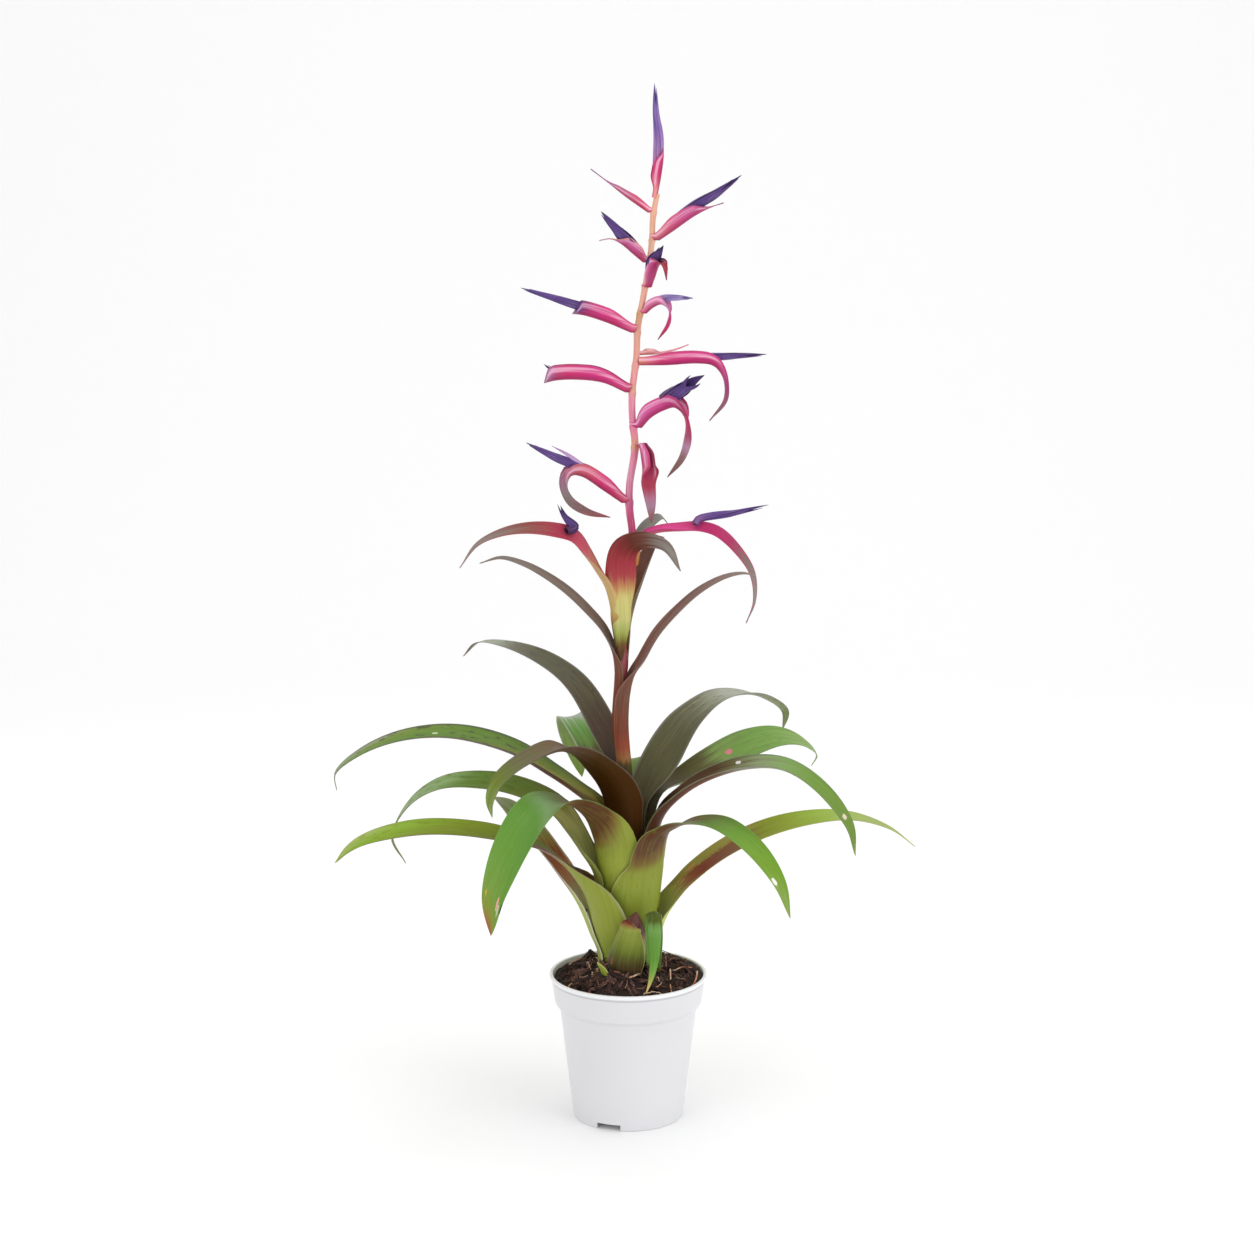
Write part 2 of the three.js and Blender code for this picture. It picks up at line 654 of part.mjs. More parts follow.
function petalSpindle(points, thick) {
  const { stops, total } = walk(points, 0, 7);
  carryNormals(stops, UP);
  const tips = [stops[0].point, stops[stops.length - 1].point];
  const rings = stops.slice(1, -1).map((stop) => {
    const share = stop.along / total;
    const size = thick * (0.75 + 0.25 * Math.sin(Math.PI * share)) * taper(share, 2.2);
    const ring = [];
    for (let side = 0; side < PETAL_SIDES; side += 1) {
      const angle = (2 * Math.PI * side) / PETAL_SIDES + share * 1.2;
      const lobe = size * (side % 2 === 0 ? 1.12 : 0.86);
      const point = stop.point.clone().addScaledVector(stop.normal, Math.cos(angle) * lobe);
      ring.push(point.addScaledVector(stop.across, Math.sin(angle) * lobe));
    }
    return ring;
  });
  return spindle(rings, PETAL_SIDES, tips);
}

function flowerGeometry(bract, stations, foot) {
  const inside = Math.round(stations.length * bract.flower.from);
  const start = stations[inside];
  const lift = bract.flower.lift ?? start.curl;
  const first = start.point.clone().addScaledVector(start.normal, lift);
  const mouth = besideStem(bract.flower.reach, bract.azimuth, foot);
  return petalSpindle([first, ...mouth], bract.flower.thick);
}

// The pot is one lathe-turned wall with a thick lip, a raised floor, notches in its foot and drain holes
function potGeometry() {
  const shoulder = POT_HEIGHT - COLLAR_HEIGHT;
  const profile = [
    [0, FLOOR_UNDERSIDE],
    [FOOT_RADIUS - FOOT_RING, FLOOR_UNDERSIDE],
    [FOOT_RADIUS - FOOT_RING, 0],
    [FOOT_RADIUS - 0.8, 0],
    [FOOT_RADIUS, 0.8],
    [WALL_TOP_RADIUS, shoulder - 3],
    [COLLAR_FOOT_RADIUS - 1.2, shoulder - 0.6],
    [COLLAR_FOOT_RADIUS, shoulder + 1.4],
    [RIM_RADIUS - 1.4, POT_HEIGHT - 3.4],
    [RIM_RADIUS, POT_HEIGHT - 2.6],
    [RIM_RADIUS, POT_HEIGHT - 0.7],
    [RIM_RADIUS - 0.7, POT_HEIGHT],
    [RIM_RADIUS - LIP + 0.5, POT_HEIGHT],
    [RIM_RADIUS - LIP, POT_HEIGHT - 0.6],
    [COLLAR_FOOT_RADIUS - WALL, shoulder + 1],
    [WALL_TOP_RADIUS - WALL, shoulder - 3],
    [FOOT_RADIUS - WALL - 0.6, FLOOR_TOP],
    [0, FLOOR_TOP],
  ];
  const lathe = new THREE.LatheGeometry(profile.map(([r, z]) => new THREE.Vector2(r, z)), POT_SIDES);
  lathe.rotateX(Math.PI / 2);
  let pot = solidOf(lathe);
  for (const azimuth of NOTCH.azimuths) {
    const cutter = new THREE.BoxGeometry(20, NOTCH.wide, NOTCH.high * 2);
    cutter.translate(FOOT_RADIUS, 0, 0);
    cutter.rotateZ(radians(azimuth));
    pot = pot.subtract(solidOf(cutter));
  }
  for (let i = 0; i < DRAIN.count; i += 1) {
    const hole = new THREE.CylinderGeometry(DRAIN.radius, DRAIN.radius, 20, 12);
    hole.rotateX(Math.PI / 2);
    hole.translate(DRAIN.ring, 0, FLOOR_TOP);
    hole.rotateZ(radians((360 * i) / DRAIN.count));
    pot = pot.subtract(solidOf(hole));
  }
  return geometryOf(pot);
}

// Inside radius of the pot at a height, less the gap that the mix keeps to it
function soilRadius(height) {
  const shoulder = POT_HEIGHT - COLLAR_HEIGHT;
  const below = shoulder - 3;
  if (height < below) {
    const share = (height - FLOOR_TOP) / (below - FLOOR_TOP);
    return lerp(FOOT_RADIUS - WALL - 0.6, WALL_TOP_RADIUS - WALL, share) - SOIL_GAP;
  }
  if (height < shoulder + 1) {
    return lerp(WALL_TOP_RADIUS - WALL, COLLAR_FOOT_RADIUS - WALL, (height - below) / 4) - SOIL_GAP;
  }
  const share = (height - shoulder - 1) / (COLLAR_HEIGHT - 1.6);
  return lerp(COLLAR_FOOT_RADIUS - WALL, RIM_RADIUS - LIP, share) - SOIL_GAP;
}

// Height of the mix: a mound round the plant, higher at the back right, with lumps
function soilHeight(x, y) {
  const fromPlant = Math.hypot(x - PLANT.x, (y - PLANT.y + SOIL_MOUND_FORWARD) * 0.9);
  const mound = SOIL_MOUND * Math.exp(-((fromPlant / 34) ** 2));
  const tilt = 1.6 * ((x + y) / RIM_RADIUS) * Math.exp(-(((fromPlant - 44) / 20) ** 2));
  const lumps = 0.7 * Math.sin(x * 0.31 + 1.2) * Math.cos(y * 0.27) + 0.5 * Math.sin(x * 0.13 - y * 0.22);
  return SOIL_EDGE_HEIGHT + mound + tilt + lumps;
}

function soilBody() {
  const shoulder = POT_HEIGHT - COLLAR_HEIGHT;
  const positions = [];
  const spoke = (i) => outward((360 * i) / SOIL_SPOKES);
  const ringAt = (radiusOf, heightOf) => {
    const ring = [];
    for (let i = 0; i < SOIL_SPOKES; i += 1) {
      const direction = spoke(i);
      const radius = radiusOf(direction);
      const point = direction.clone().multiplyScalar(radius);
      ring.push(positions.push(point.setZ(heightOf(point))) - 1);
    }
    return ring;
  };
  const shrink = Math.cos(Math.PI / POT_SIDES);
  const levels = [FLOOR_TOP + SOIL_GAP, shoulder - 3, shoulder + 1];
  const rings = levels.map((height) => ringAt(() => soilRadius(height) * shrink, () => height));
  const edgeRadius = soilRadius(SOIL_EDGE_HEIGHT - 1) * shrink;
  for (let k = SOIL_RINGS; k >= 1; k -= 1) {
    rings.push(ringAt(() => (edgeRadius * k) / SOIL_RINGS, (point) => soilHeight(point.x, point.y)));
  }
  const faces = [];
  for (let k = 0; k < rings.length - 1; k += 1) {
    for (let i = 0; i < SOIL_SPOKES; i += 1) {
      const next = (i + 1) % SOIL_SPOKES;
      const [low, high] = [rings[k], rings[k + 1]];
      faces.push([low[i], low[next], high[next]]);
      faces.push([low[i], high[next], high[i]]);
    }
  }
  const bottom = positions.push(new THREE.Vector3(0, 0, FLOOR_TOP + SOIL_GAP)) - 1;
  const top = positions.push(new THREE.Vector3(0, 0, soilHeight(0, 0))) - 1;
  const last = rings[rings.length - 1];
  for (let i = 0; i < SOIL_SPOKES; i += 1) {
    const next = (i + 1) % SOIL_SPOKES;
    faces.push([bottom, rings[0][next], rings[0][i]], [top, last[i], last[next]]);
  }
  return closedGeometry(positions, faces);
}

function coneHole({ at, low, high, radii }) {
  const hole = new THREE.CylinderGeometry(radii[1], radii[0], high - low, HOLE_SIDES);
  hole.rotateX(Math.PI / 2);
  hole.translate(at.x, at.y, (low + high) / 2);
  return solidOf(hole);
}

// Bark chips lie in the surface at all angles, sunk by about half
function barkChip(random) {
  const azimuth = random() * 360;
  const distance = 12 + 42 * Math.sqrt(random());
  const place = outward(azimuth).multiplyScalar(distance);
  const length = 8 + 11 * random();
  const chip = new THREE.BoxGeometry(length, 2.5 + 3.5 * random(), 1.3 + 1.2 * random());
  chip.rotateX((random() - 0.5) * 1.1);
  chip.rotateY((random() - 0.5) * 0.7);
  chip.rotateZ(random() * Math.PI);
  chip.translate(place.x, place.y, soilHeight(place.x, place.y) + 0.5);
  return { chip, place, length };
}

function soilGeometry() {
  const random = makeRandom(417);
  let soil = solidOf(soilBody());
  for (let i = 0; i < CHIP_COUNT; i += 1) {
    const { chip, place, length } = barkChip(random);
    if (place.length() + length / 2 < soilRadius(SOIL_EDGE_HEIGHT - 1) - 1) {
      soil = soil.add(solidOf(chip));
    }
  }
  const outer = rosetteRadius(0);
  const clear = LEAF_THICKNESS / 2 + TOUCH_GAP + 0.2;
  const sheathRadii = [outer(SHEATH_FOOT) + clear, outer(HOLE_TOP) + clear];
  const coreRadius = CORE_RADIUS + 3;
  const holes = [
    { at: PLANT, low: SHEATH_FOOT - TOUCH_GAP, high: HOLE_TOP, radii: sheathRadii },
    { at: PLANT, low: CORE_FOOT - 2, high: SHEATH_FOOT + 2, radii: [coreRadius, coreRadius] },
    PUP_HOLE,
    PUP_LEAF_HOLE,
    STUB_HOLE,
  ];
  for (const hole of holes) {
    soil = soil.subtract(coneHole(hole));
  }
  const pieces = soil.decompose().sort((one, other) => other.volume() - one.volume());
  return geometryOf(pieces[0]);
}

// Pup: a young shoot at the front, its bud wrapped by one scale, with one free leaf and a stub beside it
function pupAxis(height) {
  const share = (height - PUP.foot) / (PUP.tip - PUP.foot);
  return new THREE.Vector3(PUP.x + PUP.lean.x * share, PUP.y + PUP.lean.y * share, height);
}

function pupRadius(height) {
  const share = (height - PUP.foot) / (PUP.tip - PUP.foot);
  const swell = lerp(0.55, 1, smooth(share, 0, 0.5));
  return PUP.radius * swell * Math.pow(Math.max(1 - Math.pow(share, 3.2), 0), 0.8);
}

function pupBud() {
  const rings = [];
  const steps = 9;
  const sides = 14;
  for (let i = 0; i < steps; i += 1) {
    const height = lerp(PUP.foot, PUP.tip, i / steps);
    const ring = [];
    for (let side = 0; side < sides; side += 1) {
      ring.push(pupAxis(height).addScaledVector(outward((360 * side) / sides), pupRadius(height)));
    }
    rings.push(ring);
  }
  return spindle(rings, sides, [pupAxis(PUP.foot), pupAxis(PUP.tip)]);
}

const PUP_SCALE = {
  azimuth: -132, foot: PUP.foot, leaves: 154, clasp: [112, 74], claspPower: 2, half: 8, curl: 8,
  roll: [0, 0, 0], opening: 16, fullness: 2.6, sheathSteps: 8, steps: 4, blade: [[9.4, 157.5], [6.4, 163]],
};

function pupScale() {
  const radius = (height) => pupRadius(height) / Math.cos(Math.PI / 14) + 1.2;
  return leafGeometry(sheathedStations({ ...PUP_SCALE, radius, axis: pupAxis }), LEAF_SEGMENTS);
}

// A leaf on a path of its own, with its upper face set by the first normal
function freeStations(leaf) {
  const { stops, total } = walk(leaf.path.map((place) => new THREE.Vector3(...place)), 0, leaf.steps);
  carryNormals(stops, new THREE.Vector3(...leaf.faces));
  const stations = stops.map((stop) => {
    const share = stop.along / total;
    const width = leaf.half * lerp(leaf.narrow, 1, smooth(share, 0, 0.3)) * taper(share, leaf.fullness);
    const { point, normal, across } = stop;
    return { point, normal, across, curl: leaf.curl, half: Math.max(width, TIP_HALF), thickness: 0.9 };
  });
  return closeTip(stations);
}

const PUP_LEAF = {
  path: [
    [19, -8, 113], [19.5, -9, 138], [19, -16, 160], [19, -29, 168], [20, -41, 158], [19.5, -47.5, 137],
    [16.5, -51.5, 122], [13, -54, 112.5],
  ],
  faces: [0, 1, 0],
  half: 8, narrow: 0.7, curl: -9, fullness: 2.2, steps: 10,
};

const LEAF_STUB = {
  path: [[-16.5, -30, 107], [-17.5, -31.5, 115], [-19.5, -33, 123], [-23, -34, 131]],
  faces: [0.85, 0.53, 0],
  half: 6.5, narrow: 0.9, curl: 9, fullness: 6, steps: 6,
};

// The short stem inside the rosette, which the leaf bases stand round
function shortStem() {
  const core = (height) => new THREE.Vector3(PLANT.x, PLANT.y, height);
  const rings = [CORE_FOOT, SHEATH_FOOT, CORE_TOP].map((height) => {
    const ring = [];
    for (let side = 0; side < STEM_SIDES; side += 1) {
      ring.push(core(height).addScaledVector(outward((360 * side) / STEM_SIDES), CORE_RADIUS));
    }
    return ring;
  });
  return spindle(rings, STEM_SIDES, [core(CORE_FOOT - 0.5), core(CORE_TOP + 0.5)]);
}

const parts = new THREE.Group();
parts.name = 'potted_tillandsia';

function add(name, geometry, colour, roughness = 0.6) {
  const material = new THREE.MeshStandardMaterial({ color: colour, roughness, metalness: 0 });
  const mesh = new THREE.Mesh(geometry, material);
  mesh.name = name;
  parts.add(mesh);
}

const COLOURS = {
  pot: 0xe6e6e8, soil: 0x3a2419, leaf: 0x4f8a35, stem: 0xd9657f, shortStem: 0x8a8a4a, stemLeaf: 0x7a3a3f,
  bract: 0xc02a6a, flower: 0x4a2f8f, bud: 0x7d9a3c, scale: 0x9ab45a, pupLeaf: 0x5a9a3c, stub: 0x9aa850,
};

add('pot', potGeometry(), COLOURS.pot, 0.55);
add('soil', soilGeometry(), COLOURS.soil, 0.95);
for (const leaf of ROSETTE) {
  add(leaf.name, rosetteLeaf(leaf), COLOURS.leaf);
}
add('flower_stem', flowerStem(), COLOURS.stem);
add('short_stem', shortStem(), COLOURS.shortStem);

// Each bract with a flower gives the flower its own name
function addBract(bract, stations, foot, colour) {
  add(bract.name, leafGeometry(stations, LEAF_SEGMENTS), colour);
  if (bract.flower) {
    add(bract.name.replace('bract', 'flower'), flowerGeometry(bract, stations, foot), COLOURS.flower);
  }
}

for (const leaf of STEM_LEAVES) {
  addBract(leaf, stemLeafStations(leaf), stemAt(leaf.leaves), COLOURS.stemLeaf);
}
for (const bract of BRACTS) {
  const foot = stemAt(bract.path[0][1]);
  addBract(bract, bractStations(bract, foot), foot, COLOURS.bract);
}
add('pup_bud', pupBud(), COLOURS.bud);
add('pup_scale', pupScale(), COLOURS.scale);
add('pup_leaf', leafGeometry(freeStations(PUP_LEAF), LEAF_SEGMENTS), COLOURS.pupLeaf);
add('leaf_stub', leafGeometry(freeStations(LEAF_STUB), LEAF_SEGMENTS), COLOURS.stub);

export default parts;
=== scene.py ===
# Potted tillandsia: a rosette with a tall flowering stem in a white nursery pot.
# Shapes are in millimetres and become metres when a mesh is made. The front is -Y.

import math
from collections import namedtuple
import bmesh
import bpy
import numpy as np
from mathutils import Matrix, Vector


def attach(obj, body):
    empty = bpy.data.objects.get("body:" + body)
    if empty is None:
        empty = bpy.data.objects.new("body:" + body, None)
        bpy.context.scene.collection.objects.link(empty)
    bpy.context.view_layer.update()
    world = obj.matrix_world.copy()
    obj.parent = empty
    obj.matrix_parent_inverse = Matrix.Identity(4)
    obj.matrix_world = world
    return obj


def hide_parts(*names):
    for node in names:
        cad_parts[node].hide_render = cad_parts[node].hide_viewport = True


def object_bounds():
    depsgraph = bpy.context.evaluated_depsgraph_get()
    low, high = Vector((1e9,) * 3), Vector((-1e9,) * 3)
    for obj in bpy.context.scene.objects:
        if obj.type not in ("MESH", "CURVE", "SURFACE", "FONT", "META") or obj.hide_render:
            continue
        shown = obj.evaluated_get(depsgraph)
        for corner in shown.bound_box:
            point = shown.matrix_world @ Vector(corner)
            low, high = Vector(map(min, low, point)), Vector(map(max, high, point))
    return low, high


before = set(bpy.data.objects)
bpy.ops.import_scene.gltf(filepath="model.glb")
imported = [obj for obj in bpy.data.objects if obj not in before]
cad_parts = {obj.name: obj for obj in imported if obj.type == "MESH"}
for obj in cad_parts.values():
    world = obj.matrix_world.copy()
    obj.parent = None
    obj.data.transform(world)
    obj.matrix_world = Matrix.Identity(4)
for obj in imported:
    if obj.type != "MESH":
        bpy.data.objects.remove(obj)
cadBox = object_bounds()
print("frame loaded:", len(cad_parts), "solids")

mm = 0.001


# Small sums and makers used everywhere

def smooth(value, low, high):
    share = np.clip((value - low) / (high - low), 0, 1)
    return share * share * (3 - 2 * share)


def between(a, b, share):
    return a + (b - a) * share


def outward(azimuth):
    turn = math.radians(azimuth)
    return np.array([math.cos(turn), math.sin(turn), 0.0])


def sideways(azimuth):
    turn = math.radians(azimuth)
    return np.array([-math.sin(turn), math.cos(turn), 0.0])


def unit(vector):
    return vector / np.linalg.norm(vector)


def tint(code):
    parts = [int(code[i:i + 2], 16) / 255 for i in (1, 3, 5)]
    return [p / 12.92 if p <= 0.04045 else ((p + 0.055) / 1.055) ** 2.4 for p in parts] + [1.0]


def newMesh(name, points, faces):
    mesh = bpy.data.meshes.new(name)
    mesh.from_pydata((np.array(points) * mm).tolist(), [], faces)
    return mesh


def newObject(name, data, place=(0, 0, 0), turn=(0, 0, 0)):
    made = bpy.data.objects.new(name, data)
    made.location = place
    made.rotation_euler = turn
    bpy.context.scene.collection.objects.link(made)
    return made


def faceOutward(mesh):
    shell = bmesh.new()
    shell.from_mesh(mesh)
    bmesh.ops.recalc_face_normals(shell, faces=shell.faces)
    shell.to_mesh(mesh)
    shell.free()


def settled(name, holder):  # the mesh that an object's modifiers leave; the object goes
    bpy.context.view_layer.update()
    graph = bpy.context.evaluated_depsgraph_get()
    mesh = bpy.data.meshes.new_from_object(holder.evaluated_get(graph), depsgraph=graph)
    mesh.name = name
    bpy.data.objects.remove(holder)
    return mesh


# Node trees: a Wire is one output of a node, and a sum written with it adds a math node

class Wire:
    def __init__(self, wiring, socket):
        self.wiring, self.socket = wiring, socket

    def __add__(self, other):
        return self.wiring.math("ADD", self, other)

    def __sub__(self, other):
        return self.wiring.math("SUBTRACT", self, other)

    def __mul__(self, other):
        return self.wiring.math("MULTIPLY", self, other)

    def __truediv__(self, other):
        return self.wiring.math("DIVIDE", self, other)


class Wiring:
    def __init__(self, tree):
        self.tree = tree

    def put(self, value, socket):
        if isinstance(value, Wire):
            self.tree.links.new(value.socket, socket)
        else:
            socket.default_value = tint(value) if str(value).startswith("#") else value

    def node(self, kind, inputs=None, **settings):  # its outputs, by number and by name
        made = self.tree.nodes.new(kind)
        for key, value in settings.items():
            setattr(made, key, value)
        for key, value in (inputs or {}).items():
            self.put(value, made.inputs[key])
        wires = [Wire(self, socket) for socket in made.outputs]
        return {**dict(enumerate(wires)), **{wire.socket.name: wire for wire in wires}}

    def math(self, operation, a, b=0.0):
        return self.node("ShaderNodeMath", {0: a, 1: b}, operation=operation)[0]

    def rise(self, value, low, high, toLow=0.0, toHigh=1.0):  # smooth step from low to high
        inputs = dict(enumerate((value, low, high, toLow, toHigh)))
        return self.node("ShaderNodeMapRange", inputs, interpolation_type="SMOOTHSTEP")[0]

    def blend(self, factor, a, b):
        return self.node("ShaderNodeMix", {0: factor, 6: a, 7: b}, data_type="RGBA")[2]

    def ramp(self, value, bands, low=0, high=100):  # bands: "place colour, place colour, ..."
        made = self.tree.nodes.new("ShaderNodeValToRGB")
        self.put(value, made.inputs[0])
        elements = made.color_ramp.elements
        elements.remove(elements[1])
        for number, band in enumerate(bands.split(", ")):
            place, code = band.split()
            share = (float(place) - low) / (high - low)
            if number == 0:
                elements[0].position = share
            element = elements.new(share) if number else elements[0]
            element.color = tint("#" + code)
        return Wire(self, made.outputs[0])

    def stretch(self, vector, scale):
        return self.node("ShaderNodeMapping", {"Vector": vector, "Scale": scale})[0]

    def noise(self, vector, scale, detail=3.0, roughness=0.55):  # scale: one number, or one for each axis
        if isinstance(scale, tuple):
            vector, scale = self.stretch(vector, scale), 1.0
        inputs = {"Vector": vector, "Scale": scale, "Detail": detail, "Roughness": roughness}
        return self.node("ShaderNodeTexNoise", inputs)[0]

    def stored(self, name, output):
        return self.node("ShaderNodeAttribute", attribute_name=name)[output]

    def group(self, tree, **inputs):
        return self.node("ShaderNodeGroup", inputs, node_tree=tree)

    def handOut(self, **values):  # what a group puts out
        for key, value in values.items():
            self.put(value, self.wanted[key])
        return self.tree


def newGroup(name, kind, inputs, outputs):
    tree = bpy.data.node_groups.new(name, kind)
    for side, sockets in (("INPUT", inputs), ("OUTPUT", outputs)):
        for label, form in sockets.items():
            tree.interface.new_socket(name=label, in_out=side, socket_type="NodeSocket" + form)
    w = Wiring(tree)
    w.wanted = tree.nodes.new("NodeGroupOutput").inputs
    return w, w.node("NodeGroupInput")


def newMaterial(name):
    material = bpy.data.materials.new(name)
    material.use_nodes = True
    return material, Wiring(material.node_tree), material.node_tree.nodes["Principled BSDF"].inputs


# Camera, light and floor

view = {"place": (-0.9, -1902, 730), "tiltDown": 10.44, "lens": 74.64, "sensor": 36, "far": 50}


def makeCamera():
    camera = bpy.data.cameras.new("viewpoint")
    camera.lens, camera.sensor_width, camera.clip_end = view["lens"], view["sensor"], view["far"]
    turn = (math.radians(90 - view["tiltDown"]), 0, 0)
    bpy.context.scene.camera = newObject("viewpoint", camera, [v * mm for v in view["place"]], turn)


studio = {
    "lamps": [  # name, place in metres, size, watts
        ("keyLamp", (-1.3, -1.5, 1.9), 1.2, 5.5),
        ("fillLamp", (1.8, -1.3, 1.2), 1.6, 11),
        ("topLamp", (0.1, 0.3, 2.5), 2.0, 12),
    ],
    "aim": (0, 0, 0.35), "sky": 0.86, "floor": "#fbfbfb", "matt": 0.9,
    "sweepStart": 1600, "sweepRadius": 1200, "sweepSteps": 16, "reach": 6000,
}


def makeStudio():
    world = bpy.data.worlds.new("studioSky")
    world.use_nodes = True
    sky = world.node_tree.nodes["Background"].inputs
    sky["Color"].default_value = (1, 1, 1, 1)
    sky["Strength"].default_value = studio["sky"]
    bpy.context.scene.world = world
    bpy.context.scene.view_settings.view_transform = "Standard"
    for name, place, size, watts in studio["lamps"]:
        lamp = bpy.data.lights.new(name, "AREA")
        lamp.size, lamp.energy = size, watts
        x, y, z = np.array(studio["aim"]) - np.array(place)
        newObject(name, lamp, place, (math.atan2(math.hypot(x, y), -z), 0, math.atan2(y, x) - math.pi / 2))
    start, radius, reach = studio["sweepStart"], studio["sweepRadius"], studio["reach"]
    line = [(-reach, 0.0), (start, 0.0)]
    for k in range(1, studio["sweepSteps"] + 1):
        angle = math.radians(90 * k / studio["sweepSteps"])
        line.append((start + radius * math.sin(angle), radius * (1 - math.cos(angle))))
    line.append((start + radius, reach))
    faces = [(2 * i, 2 * i + 1, 2 * i + 3, 2 * i + 2) for i in range(len(line) - 1)]
    mesh = newMesh("studioFloor", [(x, y, z) for y, z in line for x in (-reach, reach)], faces)
    mesh.polygons.foreach_set("use_smooth", [True] * len(mesh.polygons))
    paint, w, shader = newMaterial("studioFloor")
    w.put(studio["floor"], shader["Base Color"])
    w.put(studio["matt"], shader["Roughness"])
    mesh.materials.append(paint)
    newObject("studioFloor", mesh)


makeCamera()
makeStudio()
print("camera, lamps and floor are set")


# Effects that the leaves, bracts and petals share

def makeVeinGroup():  # fine lines that run along a leaf, and the ridges that they make
    w, given = newGroup("leafVeins", "ShaderNodeTree", {"span": "Vector", "fineness": "Float"},
                        {"lines": "Float", "broad": "Float", "ridges": "Float"})
    inputs = {0: given["span"], "Scale": given["fineness"]}
    scaled = w.node("ShaderNodeVectorMath", inputs, operation="SCALE")[0]
    fine, broad = w.noise(scaled, (1700, 28, 1), 2.0), w.noise(scaled, (330, 11, 1))
    return w.handOut(lines=fine, broad=broad, ridges=fine * 0.7 + broad * 0.6)


def makeMarginGroup():  # 1 at both margins of a strip, 0 inside
    given = {"across": "Float", "width": "Float"}
    w, given = newGroup("leafMargin", "ShaderNodeTree", given, {"mask": "Float"})
    side = w.math("ABSOLUTE", given["across"] * 2.0 - 1.0)
    return w.handOut(mask=w.rise(side, w.math("SUBTRACT", 1.0, given["width"]), 1.0))


def makeBlotchGroup():  # soft-edged patches
    given = {"vector": "Vector", "level": "Float", "softness": "Float"}
    w, given = newGroup("blotches", "ShaderNodeTree", given, {"mask": "Float"})
    patches = w.noise(given["vector"], 1.0, 4.0, 0.6)
    return w.handOut(mask=w.rise(patches, given["level"], given["level"] + given["softness"]))


def makeSpotGroup():  # one scar or spot at a place on the strip
    labels = ("across", "along", "placeAcross", "placeAlong", "halfWidth", "halfLength", "ragged")
    w, given = newGroup("leafSpot", "ShaderNodeTree", dict.fromkeys(labels, "Float"), {"mask": "Float"})
    widthways = (given["across"] - given["placeAcross"]) / given["halfWidth"]
    lengthways = (given["along"] - given["placeAlong"]) / given["halfLength"]
    far = w.math("SQRT", widthways * widthways + lengthways * lengthways)
    return w.handOut(mask=w.rise(far + (given["ragged"] - 0.5), 1.1, 0.75))


veinGroup, marginGroup = makeVeinGroup(), makeMarginGroup()
blotchGroup, spotGroup = makeBlotchGroup(), makeSpotGroup()


def coat(w, shader, colour, roughness, ridges, strength, distance):
    bump = w.node("ShaderNodeBump", {"Strength": strength, "Distance": distance, "Height": ridges})[0]
    for key, value in (("Base Color", colour), ("Roughness", roughness), ("Normal", bump)):
        w.put(value, shader[key])


# What a strip's look falls back on. Its own colours, inner (the upper face) and outer, run from the foot (0)
# to the tip (100), with a sheath's mouth at 50. A spot is place across and along, half width and length, tint.
stripLook = {
    "fineness": 1, "streak": 0.1, "lean": 0, "bow": 0, "pale": 0.12, "lineTint": "#c9cf9a",
    "shade": 0.2, "shadeTint": "#2c3312", "mottle": 0, "mottleFrom": 0.5, "mottleTint": "#3d3a2c",
    "belly": 0, "margin": ("#8a8a52", "#5c5a3c", 0.1), "marginStrength": 0.8, "dust": 0.03,
    "dustTint": "#b9b6ac", "spots": [], "gloss": 0.42, "relief": 0.25, "specular": 0.12,
}
# Where in the noise lines, shade, the painted shade under tubes and their painted highlight set in, and how
# fine each pattern is
stripGrain = {
    "lines": (0.5, 0.78), "shade": (0.52, 0.34), "fineStreak": 0.6, "blade": (0.42, 0.62),
    "patch": (260, 85, 1), "patchLevel": 0.56, "patchSoftness": 0.09, "patchRun": 0.12,
    "dust": (2600, 1500, 1), "ragged": (420, 420, 1), "glossLow": 0.06, "glossHigh": 0.1, "ridge": 0.0004,
    "closing": 0.2, "belly": (0.62, 0.2), "paintedHighlightInner": (0.54, 0.68), "paintedHighlightOuter": (0.9, 0.76),
    "paintedHighlight": (0.38, 0.62, 0.1),
}


